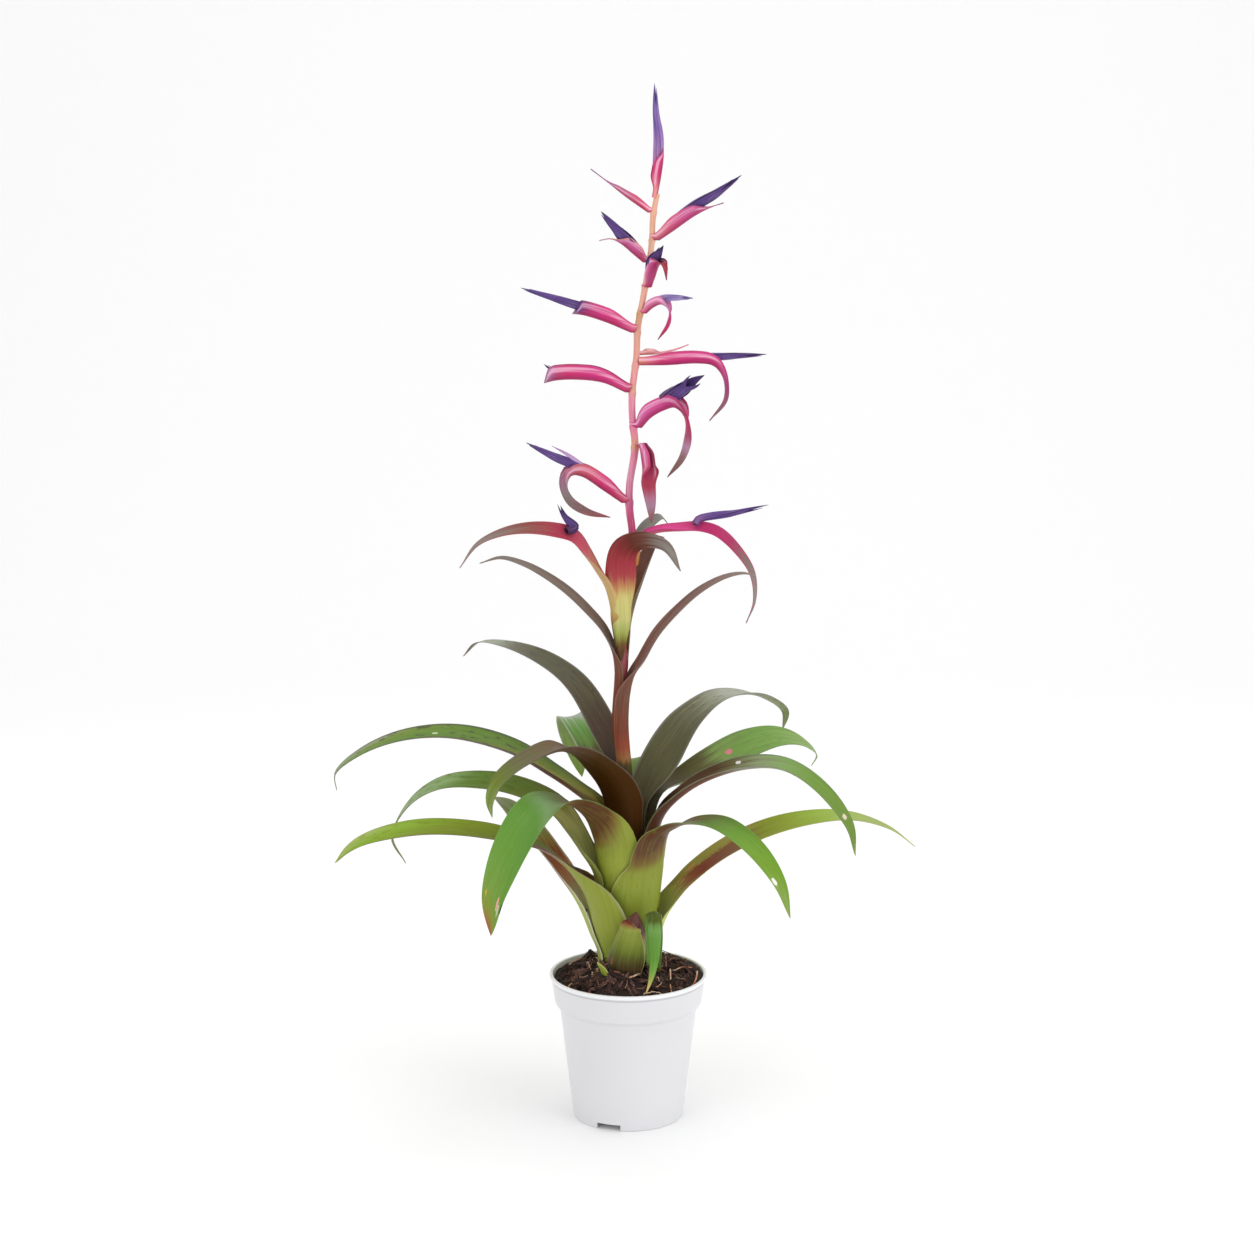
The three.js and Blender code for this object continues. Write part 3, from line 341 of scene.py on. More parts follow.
def stripMaterial(name, ownLook):
    look, fine = {**stripLook, **ownLook}, stripGrain
    material, w, shader = newMaterial(name)
    split = w.node("ShaderNodeSeparateXYZ", {0: w.node("ShaderNodeUVMap", uv_map="strip")[0]})
    across, along = split[0], split[1]
    span = w.stored("span", "Vector")
    veins = w.group(veinGroup, span=span, fineness=look["fineness"])
    lines, broad = veins["lines"], veins["broad"]
    # colour changes run out in streaks along the leaf, and set in later to one side or at the margins
    side = across - 0.5
    drift = (broad - 0.5) * look["streak"] + (lines - 0.5) * (look["streak"] * fine["fineStreak"])
    place = along + drift
    place = place + side * look["lean"] - side * side * (4 * look["bow"])
    colour = w.blend(w.stored("under", "Fac"), w.ramp(place, look["inner"]), w.ramp(place, look["outer"]))
    colour = w.blend(w.rise(lines, *fine["lines"], 0.0, look["pale"]), colour, look["lineTint"])
    colour = w.blend(w.rise(broad, *fine["shade"], 0.0, look["shade"]), colour, look["shadeTint"])
    if look["mottle"]:
        patch = w.group(blotchGroup, vector=w.stretch(span, fine["patch"]), level=fine["patchLevel"],
                        softness=fine["patchSoftness"])["mask"]
        start = look["mottleFrom"]
        only = patch * w.rise(along, start, start + fine["patchRun"], 0.0, look["mottle"])
        colour = w.blend(only, colour, look["mottleTint"])
    if look["belly"]:  # painted shade beneath a tube and a painted highlight on its flanks
        flank = w.math("ABSOLUTE", across * 2.0 - 1.0)
        closed = w.rise(along, look["tube"] + fine["closing"], look["tube"])
        # painted shade: darker where the tube faces down
        dark = w.rise(flank, *fine["belly"]) * (closed * look["belly"])
        colour = w.blend(dark, colour, look["bellyShadeTint"])
        # painted highlight: a pale band along the upper flanks
        band = w.rise(flank, *fine["paintedHighlightInner"]) * w.rise(flank, *fine["paintedHighlightOuter"]) * closed
        band = band * w.rise(broad, *fine["paintedHighlight"], look["paintedHighlight"])
        colour = w.blend(band, colour, look["paintedHighlightTint"])
    # margins: one tint on the sheath and another on the blade
    low, high, width = look["margin"]
    rim = w.group(marginGroup, across=across, width=width)["mask"]
    rimTint = w.blend(w.rise(along, *fine["blade"]), low, high)
    colour = w.blend(rim * look["marginStrength"], colour, rimTint)
    # a bloom of pale scales
    colour = w.blend(w.noise(span, fine["dust"], 2.0) * look["dust"], colour, look["dustTint"])
    for placeAcross, placeAlong, halfWidth, halfLength, code in look["spots"]:
        mark = w.group(spotGroup, across=across, along=along, placeAcross=placeAcross, placeAlong=placeAlong,
                       halfWidth=halfWidth, halfLength=halfLength, ragged=w.noise(span, fine["ragged"]))
        colour = w.blend(mark["mask"], colour, code)
    gloss = look["gloss"]
    roughness = w.rise(broad, 0.3, 0.7, gloss - fine["glossLow"], gloss + fine["glossHigh"])
    coat(w, shader, colour, roughness, veins["ridges"], look["relief"], fine["ridge"])
    w.put(look["specular"], shader["Specular IOR Level"])
    return material


def plainMaterial(name, roughness, build):
    material, w, shader = newMaterial(name)
    place = w.node("ShaderNodeTexCoord")["Object"]
    height = w.node("ShaderNodeSeparateXYZ", {0: place})["Z"]
    colour, ridges, strength, distance = build(w, place, height)
    coat(w, shader, colour, roughness, ridges, strength, distance)
    return material


# Strips: leaves, bracts and petals are all bent strips with two faces

grain = {"sheathRows": 12, "bladeRows": 54, "segments": 14, "thick": 1.1, "thickTip": 0.7, "edge": 0.42,
         "tipHalf": 0.5, "walkSteps": 400, "sharp": 48, "fullness": 3,
         "opening": 38, "rollRun": 1.3, "freeRun": 0.5, "curlRun": 1.2}  # runs are shares of the opening


def walk(points, firstPoint, steps, crowding=1.25):  # a smooth line through points, with even steps
    points = [np.asarray(p, float) for p in points]
    last = len(points) - 1

    def place(t):
        k = min(int(last * t), last - 1)
        share = last * t - k
        a = points[k - 1] if k > 0 else 2 * points[0] - points[1]
        b, c = points[k], points[k + 1]
        d = points[k + 2] if k + 2 <= last else 2 * points[last] - points[last - 1]
        ab, bc, cd = (max(np.linalg.norm(q - p), 1e-6) ** 0.5 for p, q in ((a, b), (b, c), (c, d)))
        leave = ((b - a) / ab - (c - a) / (ab + bc) + (c - b) / bc) * bc
        meet = ((c - b) / bc - (d - b) / (bc + cd) + (d - c) / cd) * bc
        second = -3 * b + 3 * c - 2 * leave - meet
        third = 2 * b - 2 * c + leave + meet
        return b + leave * share + second * share ** 2 + third * share ** 3

    start, fine = firstPoint / last, grain["walkSteps"]
    places = np.array([place(between(start, 1, i / fine)) for i in range(fine + 1)])
    gaps = np.linalg.norm(np.diff(places, axis=0), axis=1)
    lengths = np.concatenate([[0], np.cumsum(gaps)])
    total = lengths[-1]
    wanted = total * (1 - (1 - np.arange(steps + 1) / steps) ** crowding)
    slopes = np.gradient(places, axis=0)
    spots, tangents = (np.stack([np.interp(wanted, lengths, rows[:, i]) for i in range(3)], 1)
                       for rows in (places, slopes))
    tangents /= np.linalg.norm(tangents, axis=1, keepdims=True)
    return spots, tangents, wanted, total


def carryNormals(tangents, first):  # with the least turning
    normals = []
    normal = np.asarray(first, float)
    for tangent in tangents:
        normal = unit(normal - tangent * normal.dot(tangent))
        normals.append(normal)
    return np.array(normals), np.cross(normals, tangents)


def rolled(normals, acrosses, degrees):
    turn = np.radians(degrees)[:, None]
    return normals * np.cos(turn) + acrosses * np.sin(turn), acrosses * np.cos(turn) - normals * np.sin(turn)


def taper(share, fullness):
    return np.maximum(1 - share ** fullness, 0) ** 0.9


def rollAt(roll, share):
    foot, middle, tip = roll
    inner = between(foot, middle, smooth(share, 0.12, 0.5))
    return np.where(share < 0.5, inner, between(middle, tip, smooth(share, 0.5, 1)))


# one row for each station, from foot to tip; along is a share of the whole and length a distance
Strip = namedtuple("Strip", "point normal across curl half thick along length")


def stripMesh(name, strips, segments, edge=grain["edge"]):
    points, faces, uvs, spans, unders = [], [], [], [], []
    for strip in strips:
        base, columns = len(points), segments + 1
        rows = len(strip.point) - 1  # the last station is the tip itself
        centre = strip.point + strip.normal * strip.curl[:, None]

        def corner(i, j, face):
            return base + (i * columns + j) * 2 + face

        def add(point, away, share, i):  # on the upper and on the under face
            for face, sign in ((0, 1), (1, -1)):
                points.append(point + away * sign)
                uvs.append(((share + 1) / 2, strip.along[i]))
                spans.append((share * strip.half[i] * mm, strip.length[i] * mm, 0))
                unders.append(face)

        for i in range(rows):
            for j in range(columns):
                share = 2 * j / segments - 1
                angle = share * strip.half[i] / strip.curl[i]
                inward = strip.normal[i] * math.cos(angle) - strip.across[i] * math.sin(angle)
                reach = between(strip.thick[i], edge, share * share) / 2
                add(centre[i] - inward * strip.curl[i], inward * reach, share, i)
        tips = [len(points), len(points) + 1]
        add(strip.point[-1], strip.normal[-1] * edge / 2, 0, -1)
        for i in range(rows - 1):
            for j in range(segments):
                for face in (0, 1):
                    quad = [corner(i + a, j + b, face) for a, b in ((0, 0), (0, 1), (1, 1), (1, 0))]
                    faces.append(quad if face == 0 else quad[::-1])
            for j in (0, segments):
                quad = [corner(i, j, 0), corner(i + 1, j, 0), corner(i + 1, j, 1), corner(i, j, 1)]
                faces.append(quad if j == 0 else quad[::-1])
        for j in range(segments):
            faces.append([corner(0, j, 0), corner(0, j, 1), corner(0, j + 1, 1), corner(0, j + 1, 0)])
            faces.append([corner(rows - 1, j, 0), corner(rows - 1, j + 1, 0), tips[0]])
            faces.append([corner(rows - 1, j + 1, 1), corner(rows - 1, j, 1), tips[1]])
        faces.append([corner(rows - 1, 0, 1), corner(rows - 1, 0, 0), tips[0], tips[1]])
        faces.append([corner(rows - 1, segments, 0), corner(rows - 1, segments, 1), tips[1], tips[0]])
    mesh = newMesh(name, points, faces)
    order = np.zeros(len(mesh.loops), int)
    mesh.loops.foreach_get("vertex_index", order)
    layer = mesh.uv_layers.new(name="strip")
    layer.data.foreach_set("uv", np.array(uvs)[order].astype(np.float32).ravel())
    stores = (("span", "FLOAT_VECTOR", "vector", spans), ("under", "FLOAT", "value", unders))
    for label, kind, field, values in stores:
        store = mesh.attributes.new(label, kind, "POINT")
        store.data.foreach_set(field, np.array(values, np.float32).ravel())
    return mesh


def finishPiece(name, mesh, material, slot, *nodes):
    faceOutward(mesh)
    points = np.zeros(len(mesh.vertices) * 3)
    mesh.vertices.foreach_get("co", points)
    mesh.vertices.foreach_set("co", np.clip(points.reshape(-1, 3), cadBox[0], cadBox[1]).ravel())
    mesh.polygons.foreach_set("use_smooth", [True] * len(mesh.polygons))
    mesh.set_sharp_from_angle(angle=math.radians(grain["sharp"]))
    mesh.materials.append(material)
    piece = newObject(name, mesh)
    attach(piece, "root")
    if nodes:
        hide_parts(*nodes)


def replaceNode(node, mesh, material, slot):
    finishPiece(node + "_fine", mesh, material, slot, node)


# Leaves that clasp an upright line with a sheath and leave it as a free blade

def besideLine(path, azimuth, foot):  # entries are reach, height and, if any, a step to the side
    points = []
    for entry in path:
        reach, height, side = (*entry, 0)[:3]
        middle = np.array([foot[0], foot[1], height])
        points.append(middle + outward(azimuth) * reach + sideways(azimuth) * side)
    return points


def sheathedStrip(leaf, radiusAt, axisAt):
    radial, turn = outward(leaf["azimuth"]), sideways(leaf["azimuth"])
    foot, leaves = leaf["foot"], leaf["leaves"]
    power = leaf.get("claspPower", 1)

    def claspAt(height):
        return math.radians(between(*leaf["clasp"], ((height - foot) / (leaves - foot)) ** power))

    def place(height):
        return axisAt(height) + radial * radiusAt(height)

    sheathRows = leaf.get("sheathRows", grain["sheathRows"])
    heights = [between(foot, leaves, i / sheathRows) for i in range(sheathRows)]
    points = [place(between(foot, leaves, 0.7)), place(leaves)]
    points += besideLine(leaf["blade"], leaf["azimuth"], axisAt(leaves))
    spots, tangents, along, total = walk(points, 1, leaf.get("rows", grain["bladeRows"]))
    normals, acrosses = carryNormals(tangents, -radial)
    opening = leaf.get("opening", grain["opening"])
    share = along / total
    roll = rollAt(leaf["roll"], share) * smooth(along, 0, opening * grain["rollRun"])
    turned, acrosses = rolled(normals, acrosses, roll)
    free = smooth(along, 0, opening * grain["freeRun"])[:, None]
    normals = -radial * (1 - free) + turned * free
    normals /= np.linalg.norm(normals, axis=1, keepdims=True)
    acrosses -= normals * (acrosses * normals).sum(1, keepdims=True)
    acrosses /= np.linalg.norm(acrosses, axis=1, keepdims=True)
    topRadius = radiusAt(leaves)
    shoulder = between(claspAt(leaves) * topRadius, leaf["half"], smooth(along, 0, opening))
    half = np.maximum(shoulder * taper(share, leaf.get("fullness", grain["fullness"])), grain["tipHalf"])
    curl = between(topRadius, leaf["curl"], smooth(along, 0, opening * grain["curlRun"]))
    rows = [  # the sheath's rows, then the blade's
        ([place(h) for h in heights], spots),
        (np.tile(-radial, (sheathRows, 1)), normals),
        (np.tile(turn, (sheathRows, 1)), acrosses),
        ([radiusAt(h) for h in heights], curl),
        ([claspAt(h) * radiusAt(h) for h in heights], half),
        ([grain["thick"]] * sheathRows, between(grain["thick"], grain["thickTip"], share ** 2)),
        (np.arange(sheathRows) / sheathRows * 0.5, 0.5 + 0.5 * share),
        (np.array(heights) - foot, leaves - foot + along),
    ]
    return Strip(*[np.concatenate(pair) for pair in rows])


plant = {"x": 0, "y": 14, "sheathFoot": 98, "footRadius": 19.6, "pitch": 2, "flare": 0.142,
         "straightLayer": 12, "swellFrom": 115,
         "dark": ("leaf_dark_twisted", "leaf_tall_right", "leaf_tall_left")}


def plantAxis(height):
    return np.array([plant["x"], plant["y"], height], float)


rosette = [
    {"name": "leaf_left_outer", "azimuth": 165, "layer": 0, "leaves": 126, "clasp": [50, 48], "half": 14.5,
     "curl": 17, "roll": [-20, 10, 44], "opening": 45, "fullness": 5, "blade": [[30, 139], [40, 160],
     [52, 180], [66, 199], [82, 219], [96, 233], [107, 239]], "margin": ("#ece9da", "#d9d2c0", 0.16),
     "marginStrength": 0.9, "spots": [(0.3, 0.6, 0.05, 0.006, "#5a2f22"),
     (0.36, 0.63, 0.03, 0.008, "#6a3a28")],
     "outer": "0 3a2412, 10 57571f, 20 95a341, 40 a9b954, 66 a9b75c, 70 8c7a4a, 73 744444, 82 7d5a4c, "
     "88 86a25f, 100 a9bf90",
     # painted light: from 50 to 66 the inner face is coloured lighter than the leaf, to stand in for light
     # where it lies in shade
     "inner": "0 b8bc70, 50 e2e6b0, 66 e6dfb0, 69 dcae80, 72 d09066, 75 b06a44, 78 9a5c3c, 82 a08a48, "
     "86 93a05a, 93 98ac70, 100 b0c09c"},
    {"name": "leaf_right_low", "azimuth": 12, "layer": 0, "leaves": 144, "clasp": [50, 46], "half": 10,
     "curl": 20, "roll": [-24, -34, -12], "blade": [[36, 165], [46, 178], [72, 198], [104, 213], [140, 221],
     [176, 221], [208, 210], [229, 194]], "shade": 0.08, "shadeTint": "#8a9440",
     "margin": ("#b9b77a", "#a9a86a", 0.08), "spots": [(1.02, 0.64, 0.42, 0.09, "#979046"),
     (0.8, 0.6, 0.05, 0.012, "#c08a50"), (0.62, 0.575, 0.04, 0.008, "#c89a60")],
     # painted light: the outer face up to 55.5 and the inner face from 50 to 55.5 are coloured lighter than the
     # leaf, to stand in for light where they lie in shade
     "outer": "0 8c9a30, 15 b0c04c, 40 c8d870, 55.5 c4d068, 59 b8a850, 62 b87048, 67 984e38, 74 84563a, "
     "80 738231, 100 98a851",
     "inner": "0 8e9c32, 50 bcc868, 55.5 b4b45c, 58 a06c40, 60.5 8a4030, 65 84503a, 69 7e5c3c, 72 7f8a24, "
     "77 8a9a2c, 82 8fac3c, 87 9cb058, 93 98a860, 100 a5b457"},
    {"name": "leaf_back_low", "azimuth": 98, "layer": 0, "leaves": 138, "clasp": [15, 15], "half": 12,
     "curl": 24, "roll": [0, 0, 0], "blade": [[38, 164], [62, 182], [84, 184], [104, 171], [116, 150]],
     "outer": "0 6d7a20, 30 98aa3e, 56 96a63e, 64 78472e, 72 69502b, 100 899a4a",
     "inner": "0 8e9c32, 55 8e9a39, 70 758829, 100 8ea84a"},
    {"name": "leaf_left_low", "azimuth": 194, "layer": 1, "leaves": 158, "swell": 4, "clasp": [82, 74],
     "half": 10.5, "curl": 22, "roll": [-6, 26, 40], "opening": 48, "fullness": 4.5, "blade": [[34.5, 173],
     [44, 188], [56, 201], [72, 212], [110, 225], [160, 231.5], [200, 226], [214, 219], [224, 209]],
     "shade": 0.22, "shadeTint": "#6b781a", "lean": -0.12, "margin": ("#d8d6ae", "#7a6a5c", 0.08),
     "mottle": 0.4, "mottleTint": "#75701f", "spots": [(0.25, 0.3, 0.03, 0.006, "#4a2a1a"),
     (0.4, 0.38, 0.015, 0.004, "#5a3020")],
     "outer": "0 74801f, 10 8f9b30, 25 98a63e, 45 96a23a, 55 929c3c, 56.8 8a6a38, 58.5 7c3424, 66 6c3826, "
     "76 6f5a34, 84 7a7a40, 100 8f9a52",
     "inner": "0 89922d, 50 9a963a, 54 7a3a28, 64 614016, 70 6c7c1c, 80 76881a, 87 7c9a22, 92 82a42c, "
     "96 92aa50, 100 a0ae60"},
    {"name": "leaf_front_right", "azimuth": -48, "layer": 2, "leaves": 200, "clasp": [86, 40], "half": 12.5,
     "curl": 22, "roll": [4, -10, -26], "claspPower": 5, "blade": [[34, 220], [48, 230], [66, 238], [98, 243],
     [120, 239], [144, 228], [163, 211], [173, 189]], "bow": 0.02, "lean": -0.05, "streak": 0.03,
     "shade": 0.25, "shadeTint": "#68761a", "mottle": 0.3, "mottleTint": "#75831c", "mottleFrom": -0.2,
     "margin": ("#bcc07c", "#7fa05a", 0.06), "marginStrength": 0.6,
     "spots": [(0.2, 0.925, 0.14, 0.01, "#f0ece2"), (0.7, 0.3, 0.03, 0.01, "#6a4a2a")],
     "outer": "0 748126, 14 808d28, 30 8c9930, 42 8f9c38, 47.5 8d9638, 50.5 7c6230, 53.2 603c26, 57 5a301c, "
     "63 5e3a26, 68 6d5a3c, 100 7d8a44",
     "inner": "0 89922d, 55 5b341e, 60 5a4420, 66 5c5a2c, 71.5 567828, 79 629026, 90 6f9827, 100 89a051"},
    {"name": "leaf_back_middle", "azimuth": 85, "layer": 2, "leaves": 190, "clasp": [38, 38], "half": 12,
     "curl": 24, "roll": [0, 0, 0], "blade": [[38, 214], [60, 229], [86, 232], [108, 220], [120, 198]],
     "outer": "0 6d7a20, 35 92a239, 52 78502e, 62 613b2a, 100 7c8a43",
     "inner": "0 8e9c32, 55 58421b, 70 618325, 100 85a04a"},
    {"name": "leaf_front_left", "azimuth": 236, "layer": 3, "leaves": 213, "clasp": [58, 50], "half": 19.5,
     "curl": 30, "roll": [6, 6, 6], "fullness": 4.5, "blade": [[34, 230, -2], [50, 243.5, -3.5],
     [71, 254, -3], [99, 260.5, -2], [122, 256], [142, 242], [159, 224], [171, 205], [174, 181]],
     "lean": -0.08, "streak": 0.03, "bow": 0.02, "shade": 0.25, "shadeTint": "#6b781a", "mottle": 0.3,
     "mottleTint": "#75831c", "mottleFrom": -0.2, "margin": ("#b5ba70", "#6f9a55", 0.05),
     "marginStrength": 0.5, "spots": [(0.72, 0.945, 0.05, 0.012, "#e6a596"),
     (0.15, 0.93, 0.03, 0.006, "#c8a040"), (0.82, 0.955, 0.06, 0.012, "#b9bf9a")],
     "outer": "0 7b861f, 15 88952b, 30 96a33a, 44 9aa63c, 49.2 8f9739, 51.8 7e642f, 53.8 5e381c, 62 58301a, "
     "70 6a5030, 100 7d8a44",
     # painted highlight: the pale band about 73.5 on the inner face is a sheen where the blade bends over
     "inner": "0 89922d, 54 583417, 62 66542a, 66 64622a, 70 5e7c38, 73.5 70985a, 77 568a30, 86 5f9132, "
     "93 6f963c, 97 838f34, 100 9d5e3a"},
    {"name": "leaf_back_tall", "azimuth": 90, "layer": 3, "leaves": 204, "clasp": [50, 46], "half": 13,
     "curl": 26, "roll": [0, 0, 0], "blade": [[36, 228], [60, 248], [84, 255], [106, 246], [117, 224]],
     "outer": "0 6d7a20, 35 8e9a36, 50 684225, 62 583d25, 100 6e7a3c",
     "inner": "0 8e9c32, 55 4d3418, 70 537425, 100 83923e"},
    {"name": "leaf_left_middle", "azimuth": 178, "layer": 2, "leaves": 186, "clasp": [44, 44], "half": 15,
     "curl": 17, "roll": [24, 26, -6], "fullness": 2, "blade": [[35, 203], [44, 219], [56, 235], [76, 247],
     [105, 255], [141, 254], [166, 239], [180, 213], [170, 192]], "lean": -0.05,
     "margin": ("#b5ba70", "#6a6a50", 0.08), "mottle": 0.5, "mottleTint": "#4f5a22", "mottleFrom": 0.58,
     "outer": "0 7e8a23, 30 98a73e, 45 a8b54e, 50 b2be5c, 57 b4bc64, 61 a0945c, 64 84583a, 70 6c4030, "
     "80 75503f, 88 878d5c, 100 899a5e",
     # painted light: from 50 to 61 the inner face is coloured lighter than the leaf, to stand in for light
     # where it lies in shade
     "inner": "0 a8b050, 50 ccd480, 56 ccd480, 61 b4b468, 64.5 7a7c38, 70 667c30, 78 648434, 83 86a468, "
     "88 8fa878, 95 93a36d, 100 6f832f"},
    {"name": "leaf_right_arching", "azimuth": -10, "layer": 4, "leaves": 220, "clasp": [58, 50], "half": 13.5,
     "curl": 14, "roll": [-4, -12, -40], "blade": [[29, 235], [43, 250], [62, 262.5], [92, 273], [119, 273],
     [146, 257.5], [168, 231], [173, 208]], "margin": ("#7a6a44", "#74846a", 0.1),
     "spots": [(0.8, 0.7, 0.07, 0.005, "#ded6d2"), (0.5, 0.925, 0.2, 0.006, "#d9cdb4")],
     "outer": "0 7e8a23, 36 878d30, 46 6b3e27, 56 5b2a1a, 66 704632, 72 9a9484, 78 a2aa88, 86 86a060, "
     "100 859659",
     # painted highlight: the paler band about 73.5 on the inner face is a sheen on the blade's crest
     "inner": "0 89922d, 50 58341b, 58 4e2a12, 65.5 4c3216, 69.5 64603a, 73.5 859068, 78 7c9a58, 84 6f923b, "
     "96 6b8833, 100 798a45"},
    {"name": "leaf_left_upper", "azimuth": 170, "layer": 5, "leaves": 222, "clasp": [55, 50], "half": 14,
     "curl": 15, "roll": [0, 16, 22], "blade": [[26, 236], [41, 248], [60, 260.5], [90, 277.5], [134, 288],
     [176, 284.5], [210, 271], [230, 254], [229, 241]], "lean": -0.24, "margin": ("#8a8a52", "#57534c", 0.2),
     "mottle": 0.75, "mottleTint": "#4a443c", "mottleFrom": 0.56,
     "spots": [(0.42, 0.8, 0.05, 0.005, "#c9d1b0")],
     "outer": "0 7e8a23, 40 878d31, 48 683923, 58 6b3e2d, 70 785d47, 90 878d69, 100 8c926c",
     "inner": "0 89922d, 54 66401e, 59 6c4226, 62.5 8e8838, 68 70803a, 74 5f7c34, 84 648634, 94 758c3e, "
     "98 8b9774, 100 899472"},
    {"name": "leaf_right_spotted", "azimuth": 30, "layer": 5, "leaves": 236, "clasp": [40, 34], "half": 14.5,
     "curl": 26, "roll": [2, -50, -26], "blade": [[27, 247], [46, 252.5], [75, 263], [105, 274], [136, 277],
     [158, 270.5], [172, 258], [167, 250]], "margin": ("#8a8a52", "#6f8a58", 0.08), "mottle": 0.3,
     "mottleTint": "#6f6a4a", "spots": [(0.55, 0.725, 0.085, 0.009, "#d77a86")],
     "outer": "0 7e8a23, 40 878d31, 52 684227, 66 787c43, 85 a7b381, 100 8b9a4c",
     "inner": "0 89922d, 53 5c4a20, 58 605634, 66.5 66643a, 70 7c9650, 76 6a9040, 84 729848, 90 80a058, "
     "100 8b9f59"},
    {"name": "leaf_dark_twisted", "azimuth": 240, "layer": 6, "leaves": 244, "clasp": [70, 70], "half": 16.5,
     "curl": 20, "roll": [0, 24, 30], "fullness": 3.5, "blade": [[26, 262, -4], [43, 281, -12],
     [57, 290, -18], [71, 293, -23], [99, 283, -39], [112, 273, -46], [118, 261, -48], [117, 250, -47]],
     "margin": ("#5a4a34", "#6f6660", 0.08), "mottle": 0.2, "mottleTint": "#5a6a34", "mottleFrom": 0.8,
     "spots": [(0.1, 0.45, 0.18, 0.05, "#6b2018"), (0.06, 0.55, 0.16, 0.06, "#66241a")],
     "shadeTint": "#301a04", "lineTint": "#5c3c14", "pale": 0.1, "specular": 0.05, "dust": 0.01,
     "outer": "0 686a1c, 20 665018, 30 4f2e0c, 44 472808, 58 462806, 64 4c3414, 68 624a34, 78 786250, "
     "88 827c62, 100 878448",
     "inner": "0 583414, 54 452710, 62 56402b, 72 725d49, 84 6d6c4b, 91 6b7a2f, 100 89a056"},
    {"name": "leaf_back_short", "azimuth": 115, "layer": 6, "leaves": 232, "clasp": [42, 40], "half": 15,
     "curl": 22, "roll": [8, 16, 16], "fullness": 5, "blade": [[40, 256], [75, 279], [104, 288, -1],
     [116, 276, -5], [108, 256, -6], [95, 240, -4]], "margin": ("#b5ba70", "#a9b3a0", 0.1),
     # painted highlight: the pale stop at 80 on the outer face and the whitish band from 81 to 84 on the inner
     # face are a sheen on the fold
     "outer": "0 7e8a23, 50 7e8f39, 70 758d40, 80 b5c494, 85 89a065, 100 7e963c",
     "inner": "0 89922d, 64 4a4018, 67 4e4a1c, 69.5 5a7a30, 74 5c8a38, 78.5 789a60, 81.2 a8aea4, 84 a0a890, "
     "87 76905a, 92 6f8838, 100 878d36"},
    {"name": "leaf_tall_right", "azimuth": 43, "layer": 7, "leaves": 236, "clasp": [70, 66], "half": 16,
     "curl": 26, "roll": [-34, -3, 8], "blade": [[22, 250], [33, 266], [48, 283], [63, 295], [94, 308],
     [124, 308], [151, 300], [172, 286], [169, 272]], "margin": ("#6a6a44", "#7c7a70", 0.14), "mottle": 0.5,
     "mottleTint": "#4a3430", "mottleFrom": 0.5, "shadeTint": "#2c2a1a", "dust": 0.16,
     "outer": "0 686c22, 40 583d1b, 56 523920, 70 5d5c3b, 82 7a7d5d, 92 7f8a59, 100 899a5e",
     # painted highlight: the pale grey band from 75 to 90 on the inner face is a sheen on the upper bend
     "inner": "0 68501e, 50 4c4216, 58 4a4818, 66 4c4a24, 71.5 5c5c3c, 75 7f8268, 80 a0a494, 90 9c9e8a, "
     "95 8f9670, 100 989a5f"},
    {"name": "leaf_tall_left", "azimuth": 140, "layer": 8, "leaves": 258, "clasp": [60, 60], "half": 12,
     "curl": 22, "roll": [26, 14, 0], "blade": [[18, 281], [34, 307], [54, 327], [85, 341], [125, 348],
     [155, 346], [171, 333]], "margin": ("#4a4434", "#76726a", 0.16), "mottle": 0.6, "mottleTint": "#3a2430",
     "mottleFrom": 0.5, "shadeTint": "#2a2018", "dust": 0.16,
     "outer": "0 68501e, 40 492e17, 60 4a3420, 72 584931, 86 6a6c4f, 100 68503e",
     "inner": "0 583d1a, 50 493218, 60 42280f, 66 463c1e, 72 484428, 80 4a4a2c, 86 60604a, 91 98a08c, "
     "100 7a6a58"},
]


def makeRosette():
    for leaf in rosette:
        name, layer = leaf["name"], leaf["layer"]
        leaf["foot"] = plant["sheathFoot"]
        ring = plant["footRadius"] - plant["pitch"] * layer
        flare = plant["flare"] * (1 - layer / plant["straightLayer"])

        def radiusAt(height):
            swell = leaf.get("swell", 0) * smooth(height, plant["swellFrom"], leaf["leaves"])
            return ring + flare * (height - leaf["foot"]) + swell

        mesh = stripMesh(name, [sheathedStrip(leaf, radiusAt, plantAxis)], grain["segments"])
        slot = "leaf_dark" if name in plant["dark"] else "leaf_green"
        replaceNode(name, mesh, stripMaterial(name, leaf), slot)


makeRosette()
print("rosette made")


# Leaves and bracts on the flowering stem

stem = {
    "line": [(0, 120), (0, 200), (-4, 262), (-7, 304), (-5, 340), (-4, 395), (3, 445), (1, 466), (1, 484),
             (5, 512), (3, 535), (3, 553), (6, 579), (7, 600), (12, 628), (17, 660), (18, 680), (21, 697)],
    "radius": 2.8, "tipRadius": 2.0, "thinFrom": 420, "sides": 20, "rings": 260, "fineSteps": 800,
    "swell": {"by": 2.2, "at": 351, "spread": 15},
    "nodes": [424, 471, 512, 527, 553, 573, 597, 611, 630, 648, 664, 684],
    "nodeRing": 0.45, "nodeSpread": 1.8, "nodeSwell": 0.22, "nodeLength": 22,
    "low": 0.3, "high": 0.7,  # the colours' places are heights in metres
    "colours": "0.3 7a4a30, 0.42 a8305a, 0.435 b4306a, 0.462 c83f78, 0.472 cf6a98, 0.49 e59ab8, "
    "0.508 df7f9c, 0.514 d99a72, 0.524 dd7a9a, 0.548 e78ca6, 0.556 d9a27c, 0.562 e58e94, 0.578 e3998c, "
    "0.596 d9a08a, 0.612 cfa070, 0.62 e8ad96, 0.66 eab79a, 0.7 e9b090",
}
